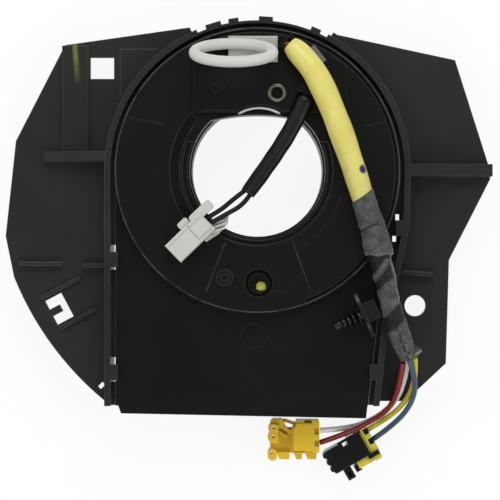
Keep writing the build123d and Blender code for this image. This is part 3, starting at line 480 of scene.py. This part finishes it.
def tape_cloth():
    """Grey woven harness tape: rows of thread, pale lint with painted highlights, painted shadow at
    the laps, and smooth rubbed turns.
    """
    material, tree, shader = new_material("cloth_tape")
    place = add(tree, "ShaderNodeTexCoord")
    woven = placed(tree, WEAVE, Vector=place.outputs["UV"], Pitch=0.72)
    moulded = placed(tree, GRAIN, Grain=0.7, Patch=3.2)
    body = blended(tree, woven["Row"], colour(0.056, 0.056, 0.055), colour(0.124, 0.123, 0.121))
    fuzz = span(tree, placed(tree, GRAIN, Grain=0.34, Patch=3.2)["Height"], 0.52, 0.7)
    body = blended(tree, maths(tree, "MULTIPLY", fuzz, 0.6), body, colour(0.30, 0.30, 0.295))
    soiled = maths(tree, "MULTIPLY", moulded["Mottle"], 0.65)
    body = blended(tree, soiled, body, colour(0.018, 0.018, 0.018))
    smooth = attribute(tree, "rubbed")
    body = blended(tree, smooth, body, colour(0.0040, 0.0040, 0.0038))
    # Painted shadow along the laps' edges and the crease.
    body = blended(tree, attribute(tree, "painted_shadow"), body, colour(0.003, 0.003, 0.003))
    # Pale lint, and painted highlights by the laps' edges and at the tail's tip.
    lint_and_highlight = maths(tree, "MULTIPLY", attribute(tree, "lint_and_highlight"), span(tree, moulded["Height"], 0.4, 0.6))
    height = maths(tree, "MULTIPLY", woven["Height"], span(tree, smooth, 0.0, 1.0, 1.0, 0.15))
    fill(tree, shader, {
        "Base Color": blended(tree, lint_and_highlight, body, colour(0.40, 0.40, 0.38)),
        "Roughness": span(tree, smooth, 0.0, 1.0, 0.88, 0.5),
        "Normal": relief(tree, height, 0.8, WEAVE_DEPTH),
        "Specular IOR Level": 0.3,
        "Sheen Weight": 0.04,
        "Sheen Roughness": 0.5,
    })
    return material


def wire_pvc(name, base, rough=0.32, specular=0.45):
    """Extruded wire insulation: nearly smooth, with slow shade along it and a faint grain."""
    material, tree, shader = new_material(name)
    moulded = placed(tree, GRAIN, Grain=0.6, Patch=6.0)
    shade = tuple(v * 0.78 for v in base)
    fill(tree, shader, {
        "Base Color": blended(tree, moulded["Mottle"], colour(*base), colour(*shade)),
        "Roughness": span(tree, moulded["Height"], 0.3, 0.8, rough - 0.06, rough + 0.12),
        "Normal": relief(tree, moulded["Height"], 0.12, GRAIN_DEPTH),
        "Specular IOR Level": specular,
    })
    return material


def film():
    """The flat cable's film: copper under clear amber, in lengthwise bands by height."""
    material, tree, shader = new_material("ribbon_film")
    height = axis_of(tree, object_place(tree), 2)
    wave = maths(tree, "SINE", maths(tree, "MULTIPLY", height, 2 * np.pi / (COPPER_PITCH * MM)))
    track = span(tree, wave, -0.2, 0.2)
    fill(tree, shader, {
        "Base Color": blended(tree, track, colour(0.30, 0.15, 0.05), colour(0.62, 0.30, 0.13)),
        "Roughness": span(tree, track, 0.0, 1.0, 0.3, 0.22),
    })
    return material


def steel(name, base, rough):
    """Dull rolled metal, rougher in patches."""
    material, tree, shader = new_material(name)
    moulded = placed(tree, GRAIN, Grain=0.4, Patch=2.0)
    fill(tree, shader, {
        "Base Color": colour(*base),
        "Metallic": 1.0,
        "Roughness": span(tree, moulded["Mottle"], 0.0, 1.0, rough, rough + 0.15),
    })
    return material


# A pale black, laid on edges as wear and painted highlight, and on the rotor's marks.
PALE_BLACK = (0.085, 0.085, 0.080)

MATERIALS = {
    # The frame's wide, strong mottle is partly uneven tone and partly painted sheen, for soft
    # reflections on its wings.
    "frame_black": plastic(
        "frame_black", (0.0178, 0.0175, 0.0156), (0.12, 0.12, 0.115), rough=0.42, specular=0.25,
        grain=0.4, patch=34.0, bump=0.3, edge=0.5, edge_wear_and_highlight=0.85, scuffs=0.4, mottle=0.42,
        marks=((STROKE, (0.21, 0.22, 0.04), 1.0, 0.0),)),
    "cassette_black": plastic(
        "cassette_black", (0.0042, 0.0043, 0.0036), PALE_BLACK, rough=0.34, specular=0.17,
        grain=0.3, bump=0.2, edge=0.35, edge_wear_and_highlight=0.6, scuffs=0.35, mottle=0.2),
    "rotor_black": plastic(
        "rotor_black", (0.0050, 0.0050, 0.0043), PALE_BLACK, rough=0.34, specular=0.17,
        grain=0.3, bump=0.2, edge=0.45, edge_wear_and_highlight=0.8, scuffs=0.4, mottle=0.3,
        # Painted shade: darker below the recess heights.
        crown=ROTOR_CROWN, low=((0.0016, 0.0016, 0.0014), *ROTOR_RECESS_SHADE), calm=SEAMS,
        # The seam lines get a bump and a painted highlight of paler black.
        marks=((WHEEL, PALE_BLACK, 0.3, 4.0), (SEAMS, PALE_BLACK, 0.5, 3.0),
               # Painted highlight along the rotor's rim.
               (RIM_HIGHLIGHT, PALE_BLACK, 0.75, 0.0))),
    "pin_tin": steel("pin_tin", (0.6, 0.59, 0.57), 0.28),
    "eyelet": steel("eyelet_steel", (0.17, 0.165, 0.135), 0.3),
    "clear_film": plastic(
        "slip_film", (0.7, 0.7, 0.66), (0.8, 0.8, 0.8), rough=0.25, edge=0.05, scuffs=0.1),
    "natural": plastic(
        "natural_plastic", (0.57, 0.565, 0.525), (0.72, 0.72, 0.69), rough=0.42, specular=0.35,
        grain=0.6, bump=0.08, edge=0.35, edge_wear_and_highlight=0.35, scuffs=0.05, mottle=0.06, milk=0.15),
    "lock_white": plastic(
        "lock_white", (0.63, 0.62, 0.595), (0.74, 0.74, 0.71), rough=0.4, specular=0.35,
        grain=0.7, bump=0.06, edge=0.4, edge_wear_and_highlight=0.3, scuffs=0.03, mottle=0.05, milk=0.2,
        # Painted shade: the foot below the ring is a darker grey.
        low=((0.44, 0.44, 0.40), *LOCK_FOOT_SHADE)),
    "latch_grey": plastic(
        "latch_grey", (0.17, 0.155, 0.155), (0.30, 0.28, 0.28), rough=0.45, edge=0.3,
        scuffs=0.1),
    "marker_yellow": plastic(
        "marker_yellow", (0.93, 0.97, 0.13), (0.97, 0.98, 0.3), rough=0.4, edge=0.3,
        scuffs=0.0, mottle=0.05),
    "squib_yellow": plastic(
        "squib_yellow", (0.80, 0.53, 0.022), (0.92, 0.76, 0.16), rough=0.38, specular=0.35,
        grain=0.5, bump=0.1, edge=0.35, edge_wear_and_highlight=0.45, scuffs=0.08, mottle=0.1),
    "plug_black": plastic(
        "plug_black", (0.0030, 0.0030, 0.0030), (0.11, 0.11, 0.11), rough=0.24, specular=0.3,
        grain=0.4, bump=0.1, edge=0.4, edge_wear_and_highlight=0.6, scuffs=0.3, mottle=0.3),
    "clip_black": plastic(
        "clip_black", (0.0035, 0.0035, 0.0035), PALE_BLACK, rough=0.2, specular=0.5,
        grain=0.4, bump=0.1, edge=0.3, edge_wear_and_highlight=0.35, scuffs=0.2),
    "lock_lemon": plastic(
        "lock_lemon", (0.66, 0.60, 0.05), (0.85, 0.82, 0.25), rough=0.38, specular=0.35,
        grain=0.5, bump=0.1, edge=0.35, edge_wear_and_highlight=0.45, scuffs=0.08, mottle=0.1),
    "film": film(),
    "vinyl": sleeve_vinyl(),
    "tape": tape_cloth(),
    "red": wire_pvc("red_pvc", (0.23, 0.012, 0.010)),
    "white": wire_pvc("white_pvc", (0.93, 0.91, 0.89)),
    "yellow": wire_pvc("yellow_pvc", (0.66, 0.58, 0.03)),
    "blue": wire_pvc("blue_pvc", (0.052, 0.090, 0.145)),
    "lead": wire_pvc("lead_black", (0.0065, 0.0065, 0.0062), rough=0.34, specular=0.3),
    "orange": wire_pvc("orange_pvc", (0.17, 0.036, 0.005)),
}

# The carried-over solids, by finish
FINISHED = {
    "frame_black": ("shroud_frame",),
    "cassette_black": ("stator_cover", "stator_housing", "connector_block", "sleeve_retainer",
                       "terminal_block", "terminal_cover", "roller_a", "roller_b", "roller_c"),
    "rotor_black": ("rotor",),
    "pin_tin": ("connector_pins",),
    "clear_film": ("slip_sheet",),
    "film": ("ribbon_cable",),
    "clip_black": ("fir_tree_clip",),
    "squib_yellow": ("yellow_plug", "yellow_plug_lock"),
    "plug_black": ("black_plug",),
    "lock_lemon": ("black_plug_lock",),
    "latch_grey": ("terminal_latch",),
    "natural": ("white_plug", "roller_carrier"),
    "marker_yellow": ("roller_marked",),
    "lock_white": ("lock_tab",),
}


def finish_nodes(finish, nodes):
    """Gives carried-over solids their finish."""
    for node in nodes:
        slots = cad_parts[node].data.materials
        slots.clear()
        slots.append(MATERIALS[finish])


for node_finish, finished_nodes in FINISHED.items():
    finish_nodes(node_finish, finished_nodes)


# Surfaces
SPLINE_ORDER = 3
SPLINE_STEPS = 16
CORD_BEVEL_STEPS = 5


def mesh_from(name, points, loops, sizes, maps):
    """An object from arrays: points, every face's corners in turn, each face's count, the map."""
    mesh = bpy.data.meshes.new(name)
    mesh.vertices.add(len(points))
    mesh.vertices.foreach_set("co", np.asarray(points, np.float32).ravel())
    mesh.loops.add(len(loops))
    mesh.loops.foreach_set("vertex_index", np.asarray(loops, np.int32))
    mesh.polygons.add(len(sizes))
    starts = np.concatenate([[0], np.cumsum(sizes)[:-1]]).astype(np.int32)
    mesh.polygons.foreach_set("loop_start", starts)
    mesh.polygons.foreach_set("use_smooth", np.ones(len(sizes), bool))
    mesh.update(calc_edges=True)
    layer = mesh.uv_layers.new(name="along")
    layer.data.foreach_set("uv", np.asarray(maps, np.float32).ravel())
    mesh.validate()
    piece = bpy.data.objects.new(name, mesh)
    bpy.context.scene.collection.objects.link(piece)
    return piece


def sheet_mesh(name, points, around=True, loop=False, caps=True):
    """A mesh over a grid of points, rows along the piece and columns round it.

    Each cell between two rows and two columns is one face. Where the columns close, the
    last joins the first, and the same goes for the rows of a loop. A cap is one face over
    the first or last row. The map holds the distance round and along the piece, in
    millimetres.
    """
    rows, columns = points.shape[:2]
    row = np.arange(rows + loop) % rows
    column = np.arange(columns + around) % columns
    index = row[:, None] * columns + column[None]
    grid = points[row][:, column]
    across = np.cumsum(np.linalg.norm(np.diff(grid, axis=1, prepend=grid[:, :1]), axis=2).mean(0))
    along = np.cumsum(np.linalg.norm(np.diff(grid, axis=0, prepend=grid[:1]), axis=2).mean(1))
    flat = np.stack(np.broadcast_arrays(across[None], along[:, None]), axis=-1) / MM

    def cells(v):
        """The four corners of every cell."""
        return np.stack([v[:-1, :-1], v[:-1, 1:], v[1:, 1:], v[1:, :-1]], axis=2)

    loops = [cells(index).ravel()]
    sizes = [np.full(len(loops[0]) // 4, 4)]
    maps = [cells(flat).reshape(-1, 2)]
    if caps and not loop:
        loops += [index[0, :-1][::-1], index[-1, :-1]]
        sizes += [[columns], [columns]]
        maps += [flat[0, :-1][::-1], flat[-1, :-1]]
    loops, sizes, maps = (np.concatenate(parts) for parts in (loops, sizes, maps))
    return mesh_from(name, points.reshape(-1, 3), loops, sizes, maps)


def cord_curve(name, route, diameter):
    """A cord as one smooth open spline whose control points are the route's points."""
    data = bpy.data.curves.new(name, "CURVE")
    data.dimensions = "3D"
    data.resolution_u = SPLINE_STEPS
    spline = data.splines.new("NURBS")
    spline.points.add(len(route) - 1)
    for point, place in zip(spline.points, route):
        point.co = (*[v * MM for v in place], 1.0)
    spline.order_u = SPLINE_ORDER
    spline.use_endpoint_u = True
    data.bevel_depth = diameter * MM / 2
    data.bevel_resolution = CORD_BEVEL_STEPS
    data.use_fill_caps = True
    piece = bpy.data.objects.new(name, data)
    bpy.context.scene.collection.objects.link(piece)
    return piece


def cord_line(route, steps):
    """Points along a route's smooth spline, evenly spaced by length, and each one's distance.

    The points are in metres. The distances are one column, in millimetres from the start.
    """
    guide = cord_curve("guide", route, 0.0)
    data = guide.data
    data.use_fill_caps = False
    read = bpy.data.meshes.new_from_object(guide)
    co = np.zeros(len(read.vertices) * 3, np.float32)
    read.vertices.foreach_get("co", co)
    line = co.reshape(-1, 3).astype(float)
    bpy.data.objects.remove(guide)
    bpy.data.curves.remove(data)
    bpy.data.meshes.remove(read)
    reach = np.concatenate([[0.0], np.cumsum(np.linalg.norm(np.diff(line, axis=0), axis=1))])
    even = np.linspace(0.0, reach[-1], steps)
    line = np.stack([np.interp(even, reach, line[:, k]) for k in range(3)], axis=1)
    return line, (even / MM)[:, None]


def ring_angles(count):
    """Even angles round a ring, as one row."""
    return np.linspace(0, 2 * np.pi, count, endpoint=False)[None]


def skin(name, line, radius, lean=0.0):
    """A closed skin round a line: each row is a ring square to it.

    Radius gives the ring's reach by row and angle. Angle 0 lies to the line's right seen
    along it, and a quarter turn is up. A lean moves each point along the line, so that
    an edge can slant. Both are in millimetres, and the line is in metres.
    """
    tangent = np.gradient(line, axis=0)
    tangent /= np.linalg.norm(tangent, axis=1, keepdims=True)
    side = np.cross(tangent, (0.0, 0.0, 1.0))
    side /= np.linalg.norm(side, axis=1, keepdims=True)
    lift = np.cross(side, tangent)
    angle = ring_angles(radius.shape[1])[:, :, None]
    ring = side[:, None] * np.cos(angle) + lift[:, None] * np.sin(angle)
    lean = np.broadcast_to(lean, radius.shape)
    points = line[:, None] + ring * (radius * MM)[:, :, None]
    return sheet_mesh(name, points + tangent[:, None] * (lean * MM)[:, :, None])


def bell(x, centre, width):
    """A smooth bell about a centre."""
    return np.exp(-((x - centre) / width) ** 2)


def step_up(x, edge, width):
    """A smooth step from 0 to 1 at an edge."""
    return 0.5 + 0.5 * np.tanh((x - edge) / width)


def set_mask(piece, name, values):
    """Writes a mask between 0 and 1 on every point of a piece."""
    mark = piece.data.attributes.new(name, "FLOAT", "POINT")
    mark.data.foreach_set("value", np.clip(values, 0, 1).astype(np.float32).ravel())


def dress(piece, material, body=None):
    """Gives a new piece its material and slot, and the body it moves with."""
    piece.data.materials.append(MATERIALS[material])
    if body:
        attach(piece, body)
    return piece


# The harness
TUBE_SIDES = 48
TAPE_SIDES = 144
EDGE_SLANT = 1.4
NECK_DEPTH, NECK_LENGTH = 1.5, 2.6
# A crease's depth, its place and width along the sleeve, and its angle and reach round it
SLEEVE_CREASES = ((0.30, 44.0, 1.6, 0.6, 0.9), (0.22, 49.5, 1.2, 0.3, 0.8))
# The taped bundle's radius, by stations along it
BUNDLE_STATIONS = (0.0, 3.4, 8.6, 13.4, 18.9, 21.5, 26.0, 30.0, 33.3, 38.7, 42.4, 46.0, 50.0, 53.5,
                   57.4, 60.8)
BUNDLE_RADII = (4.35, 4.30, 4.35, 4.65, 5.10, 5.0, 3.75, 3.85, 3.5, 3.5, 3.8, 3.9, 3.85, 3.7, 3.2,
                2.85)
# The tape's laps, by where each edge lies along the bundle
FIRST_LAP, SECOND_LAP, FOLD, THIRD_LAP = 10.4, 22.2, 26.8, 32.3
BAND_FROM, BAND_TO = 41.9, 47.5
CREASE_ANGLE = 2.6
TAIL_START, TAIL_MIDDLE, TAIL_END = (53.2, -62.6, 28.4), (55.6, -63.0, 29.4), (57.0, -65.0, 31.0)
TAIL_HALF_WIDTH, TAIL_HALF_THICKNESS = 1.6, 0.24


def yellow_sleeve():
    """The vinyl tube: a ring carried along the route, necked at the tower, creased before the tape.

    Its reach is the tube's radius, less a neck near the start, with soft dents that run
    round it and slow swells along it. Its far end slants, as the tape's edge does.
    """
    line, s = cord_line(YELLOW_SLEEVE, 150)
    angle = ring_angles(TUBE_SIDES)
    total = s[-1, 0]
    radius = SLEEVE_D / 2 - NECK_DEPTH * np.exp(-s / NECK_LENGTH) - 0.25 * bell(s, total, 6)
    radius = radius + 0.10 * np.sin(s * 0.35 + 1.0) + 0.12 * np.sin(2 * angle + s * 0.08)
    for depth, place, width, turn, reach in SLEEVE_CREASES:
        radius = radius - depth * bell(s, place, width) * bell(angle, turn, reach)
    lean = (1.2 + EDGE_SLANT * np.cos(angle)) * np.exp((s - total) / 4)
    tube = skin("yellow_sleeve_tube", line, radius, lean)
    dress(tube, "vinyl")
    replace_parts(tube, "yellow_sleeve")
    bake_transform(tube)


def tape_wrap():
    """The cloth tape wound round the harness.

    Its reach follows the bundle, by stations along it. Each lap is a step at an edge
    that slants round the bundle, since the tape is wound at an angle. Between the
    second and the third lap the tape is pulled into a thin twist, with one pale fold,
    and further on a band of it is rubbed smooth.
    """
    line, s = cord_line(TAPE, 420)
    angle = ring_angles(TAPE_SIDES)
    # The tape runs down the photograph, so that its own right is the photograph's left
    left, up = np.cos(angle), np.sin(angle)
    across = np.cos(angle - CREASE_ANGLE)

    # Where each edge lies along the bundle, at each angle
    first = FIRST_LAP + 1.25 * left + 0.9 * up + 0.2 * np.sin(4 * angle)
    second = SECOND_LAP - 1.0 * left + 0.6 * up + 0.25 * np.sin(5 * angle + 1.0)
    fold = FOLD + 3.3 * left
    third = THIRD_LAP + 2.0 * left + 0.2 * np.sin(3 * angle)
    band_start = BAND_FROM + 2.3 * left + 0.5 * up
    band_end = BAND_TO + 1.9 * left + 0.3 * up + 0.15 * np.sin(6 * angle)

    # The reach: the bundle, the steps and hollows of the laps, then wrinkles and fray
    radius = np.interp(s[:, 0], BUNDLE_STATIONS, BUNDLE_RADII)[:, None]
    hollow = step_up(s, first, 0.2) * (0.05 + 0.30 * left) * (1 - step_up(s, first + 4, 1.5))
    radius = radius - hollow
    radius = radius - 0.75 * step_up(s, second, 0.12) * (1 - step_up(s, second + 2.0, 0.9))
    radius = radius + 0.35 * bell(s, fold, 1.2)
    radius = radius + 0.25 * step_up(s, third, 0.15) * (1 - step_up(s, third + 3, 1.5))
    radius = radius - 0.22 * bell(s, band_start, 0.5) - 0.25 * bell(s, band_end, 0.4)
    radius = radius + 0.30 * bell(s, 57.0, 6.0) * step_up(across, 0.55, 0.08)
    wrinkle = 0.07 * np.sin(7 * angle + s * 0.9) * np.sin(s * 0.7)
    wrinkle = wrinkle + 0.05 * np.sin(3 * angle - s * 1.7)
    frayed = 0.05 * np.sin(17 * angle + s * 2.3) * np.sin(s * 5.1 + 5 * angle)
    radius = radius + wrinkle + frayed * step_up(-left, 0.3, 0.3)
    lean = (0.6 + EDGE_SLANT * left) * np.exp(-s / 4)
    wrap = skin("tape_wrap", line, radius, lean)

    # The twist on both sides of the fold, and the smooth band
    twist = step_up(s, second + 0.2, 0.15) * (1 - step_up(s, fold - 1.3, 0.3))
    twist = twist + step_up(s, fold + 1.5, 0.3) * (1 - step_up(s, third, 0.15))
    band = step_up(s, band_start, 0.15) * (1 - step_up(s, band_end, 0.15))
    set_mask(wrap, "rubbed", twist * step_up(left, -0.72, 0.08) + band)

    # Painted shadow: dark lines under the laps' edges, and along one long crease
    painted_shadow = 0.75 * bell(s, first + 0.35, 0.45) * step_up(left, -0.6, 0.2)
    painted_shadow = painted_shadow + bell(s, second + 0.5, 0.5)
    painted_shadow = painted_shadow + 0.8 * bell(s, third, 0.25) + 0.7 * bell(s, band_start, 0.35)
    painted_shadow = painted_shadow + 0.8 * bell(s, band_end, 0.35)
    painted_shadow = painted_shadow + 0.6 * bell(s, fold - 1.5, 0.3) * step_up(up, 0.0, 0.3)
    crease = np.cos(angle - CREASE_ANGLE + 0.12 * np.sin(1.7 * s) + 0.1 * np.sin(3.1 * s))
    painted_shadow = painted_shadow + bell(crease, 0.5, 0.08) * step_up(s, 49.5, 1.5)
    set_mask(wrap, "painted_shadow", painted_shadow)

    # Pale lint along the bundle's far side, and painted highlights on the tape's edges, beside the
    # band and along the crease
    ragged = s + 0.5 * np.sin(9 * angle)
    lint_and_highlight = bell(left, -0.93, 0.10) * step_up(ragged, 21.0, 0.5) * (1 - step_up(ragged, 40.0, 0.8))
    near_band = 0.8 * bell(s, band_start - 0.6, 0.6) * step_up(-left, 0.6, 0.1)
    lint_and_highlight = lint_and_highlight + near_band * step_up(up, 0.0, 0.1)
    lint_and_highlight = lint_and_highlight + 0.5 * bell(s, second - 0.5, 0.4) * step_up(up, 0.2, 0.1)
    lint_and_highlight = lint_and_highlight + 0.35 * bell(across, 0.66, 0.06) * step_up(s, 49.0, 1.0)
    set_mask(wrap, "lint_and_highlight", 0.7 * lint_and_highlight)

    dress(wrap, "tape")
    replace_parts(wrap, "harness_tape")
    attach(wrap, "housing")


def tape_tail():
    """The tape's cut end, which stands off the harness.

    It is a flat oval ring carried along a short rising bend, a quadratic curve through
    three points, and narrows to a frayed end.
    """
    share = np.linspace(0, 1, 28)[:, None]
    start, middle, end = (np.array(place) for place in (TAIL_START, TAIL_MIDDLE, TAIL_END))
    line = (start * (1 - share) ** 2 + 2 * middle * share * (1 - share) + end * share ** 2) * MM
    angle = ring_angles(40)
    width = TAIL_HALF_WIDTH - 0.45 * share ** 4
    width = width + 0.12 * np.sin(9 * share) + 0.1 * np.sin(23 * share)
    radius = 1 / np.sqrt((np.cos(angle) / width) ** 2 + (np.sin(angle) / TAIL_HALF_THICKNESS) ** 2)
    tail = skin("tape_tail", line, radius)
    everywhere = np.ones_like(radius)
    set_mask(tail, "rubbed", (0.8 - 0.8 * share) * everywhere)
    # Painted shade, darkest where the tail leaves the harness.
    set_mask(tail, "painted_shadow", (0.7 - 0.9 * share) * everywhere)
    # Painted highlight at the tail's tip.
    set_mask(tail, "lint_and_highlight", 0.8 * step_up(share, 0.85, 0.06) * everywhere)
    dress(tail, "tape")
    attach(tail, "housing")


def plain_wire(name, node, route, diameter, finish, body):
    """A single wire on its own spline, in the place of its solid."""
    wire = dress(cord_curve(name, route, diameter), finish, body)
    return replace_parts(wire, node)


def harness_wires():
    """The four wires that leave the tape, two for each plug."""
    wires = (
        ("red", RED, 0.0512, "yellow"), ("white", WHITE, 0.0521, "yellow"),
        ("yellow", YELLOW, 0.0404, "black"), ("blue", BLUE, 0.0431, "black"),
    )
    for name, route, length, plug in wires:
        wire = plain_wire(name + "_wire_run", name + "_wire", route, WIRE_D,
                          name, "housing")


# The lead and the small pieces on the tower
LEAD_SHRUNK = 0.22
LEAD_LOBES = 0.34
LEAD_ROUND_END = 2.2
LEAD_MOUTH = 1.5
ARCH_CENTRE = (0.6, 7.35, 27.9)
ARCH_R = 14.5
ARCH_HALF_ANGLE = 31
ARCH_BEAD, ARCH_BEAD_ENDS = 0.38, 0.22
EYELET = (6.9, 27.2, 29.0)
EYELET_R = 2.66
EYELET_ROLL, EYELET_HALF_HEIGHT = 0.62, 0.42
CORE_ROUTE = ((11.9, 43.4, 33.0), (10.2, 44.7, 32.2), (9.6, 43.4, 30.2))
CORE_R = 0.85


def black_lead():
    """The heat-shrunk pair and its two wires.

    The skin is a ring with two lobes carried along the route, closed round at its start,
    and drawn out where the wires leave it.
    """
    line, s = cord_line(BLACK_LEAD, 120)
    angle = ring_angles(TUBE_SIDES)
    total = s[-1, 0]
    radius = LEAD_D / 2 - LEAD_SHRUNK + LEAD_LOBES * np.cos(2 * angle + 0.03 * s)
    radius = radius + 0.05 * np.sin(s * 0.8) - 0.2 * bell(s, total, 0.8)
    radius = radius * (0.12 + 0.88 * np.sqrt(1 - (1 - np.clip(s / LEAD_ROUND_END, 0, 1)) ** 2))
    lean = LEAD_MOUTH * np.exp((s - total) / 1.5)
    lead = skin("black_lead_tube", line, radius, lean)
    dress(lead, "lead", "rotor")
    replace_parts(lead, "black_lead_sleeve")
    wires = (("lead_wire_one", "black_lead_wire_a", LEAD_WIRE_A),
             ("lead_wire_two", "black_lead_wire_b", LEAD_WIRE_B))
    pair = [plain_wire(name, node, route, LEAD_WIRE_D, "lead", "rotor")
            for name, node, route in wires]


def arch_highlight_bead():
    """A pale bead under the tower's arch, a painted reflection on the arch's lip: a ring along an
    arc, fuller towards its ends.
    """
    share = np.linspace(-1, 1, 90)[:, None]
    turn = np.radians(90 - ARCH_HALF_ANGLE * share)
    circle = np.concatenate([np.cos(turn), np.sin(turn), 0 * turn], axis=1)
    line = np.array(ARCH_CENTRE) * MM + ARCH_R * MM * circle
    ends = np.sqrt(np.clip(1 - share ** 8, 0.02, 1))
    radius = (ARCH_BEAD + ARCH_BEAD_ENDS * share ** 2) * ends + 0 * ring_angles(16)
    dress(skin("arch_highlight_bead", line, radius), "natural", "rotor")


def boss_eyelet():
    """The rolled eyelet in the tower's boss: a small flat oval carried round a circle."""
    turn = np.linspace(0, 2 * np.pi, 64, endpoint=False)[:, None]
    angle = ring_angles(16)
    out = EYELET_R + EYELET_ROLL * np.cos(angle)
    place = [out * np.cos(turn), out * np.sin(turn), EYELET_HALF_HEIGHT * np.sin(angle) + 0 * turn]
    points = (np.stack(place, axis=-1) + np.array(EYELET)) * MM
    dress(sheet_mesh("boss_eyelet", points, loop=True), "eyelet", "rotor")


def core_stub():
    """The bare stretch of one core, between the tower's saddle and the sleeve's mouth."""
    line, s = cord_line(CORE_ROUTE, 30)
    radius = CORE_R + 0 * s + 0 * ring_angles(20)
    dress(skin("core_stub", line, radius), "orange", "rotor")


yellow_sleeve()
tape_wrap()
tape_tail()
harness_wires()
black_lead()
arch_highlight_bead()
boss_eyelet()
core_stub()


# Studio, in metres
FLOOR_HALF = 1.5
FLOOR_Z = -0.0004
FLOOR_GREY = 0.9
FLOOR_GLOW = 1.01
FLOOR_SHOWN = 0.88
SURROUND = 0.3
LAMP_SIZE = 0.5
LAMPS = (
    ("top_light", (0.05, 0.55, 0.55), 2.9),
    ("left_light", (-0.6, 0.0, 0.55), 1.5),
    ("right_light", (0.6, -0.05, 0.55), 1.4),
    ("low_light", (0.0, -0.6, 0.6), 1.9),
)


def floor():
    """A wide pale floor under the part, white to the camera but still taking its shadow."""
    sides = (-FLOOR_HALF, FLOOR_HALF)
    points = np.array([[[x, y, FLOOR_Z] for x in sides] for y in sides])
    plane = sheet_mesh("floor", points, around=False, caps=False)
    material, tree, shader = new_material("floor_white")
    fill(tree, shader, {"Base Color": colour(FLOOR_GREY, FLOOR_GREY, FLOOR_GREY), "Roughness": 0.8})
    light = add(tree, "ShaderNodeLightPath").outputs
    seen = maths(tree, "MAXIMUM", light["Is Camera Ray"], light["Is Glossy Ray"])
    seen = maths(tree, "MAXIMUM", seen, light["Is Transmission Ray"])
    glow = add(tree, "ShaderNodeEmission", {"Strength": FLOOR_GLOW}).outputs[0]
    shown = maths(tree, "MULTIPLY", seen, FLOOR_SHOWN)
    mix = add(tree, "ShaderNodeMixShader", {0: shown, 1: shader.outputs[0], 2: glow})
    fill(tree, tree.nodes["Material Output"], {"Surface": mix.outputs[0]})
    plane.data.materials.append(material)


def lamp(name, place, power):
    """A square soft light that faces the part."""
    data = bpy.data.lights.new(name, "AREA")
    data.energy = power
    data.size = LAMP_SIZE
    light = bpy.data.objects.new(name, data)
    light.location = place
    x, y, z = place
    light.rotation_euler = (np.arctan2(np.hypot(x, y), z), 0.0, np.arctan2(x, -y))
    bpy.context.scene.collection.objects.link(light)


def studio():
    """A dim even surround and four soft lights, the strongest beyond the part's top."""
    world = bpy.data.worlds.new("surround")
    bpy.context.scene.world = world
    world.use_nodes = True
    background = world.node_tree.nodes["Background"]
    fill(world.node_tree, background, {"Color": colour(1.0, 1.0, 1.0), "Strength": SURROUND})
    for name, place, power in LAMPS:
        lamp(name, place, power)
    bpy.context.scene.view_settings.view_transform = "Standard"


floor()
studio()
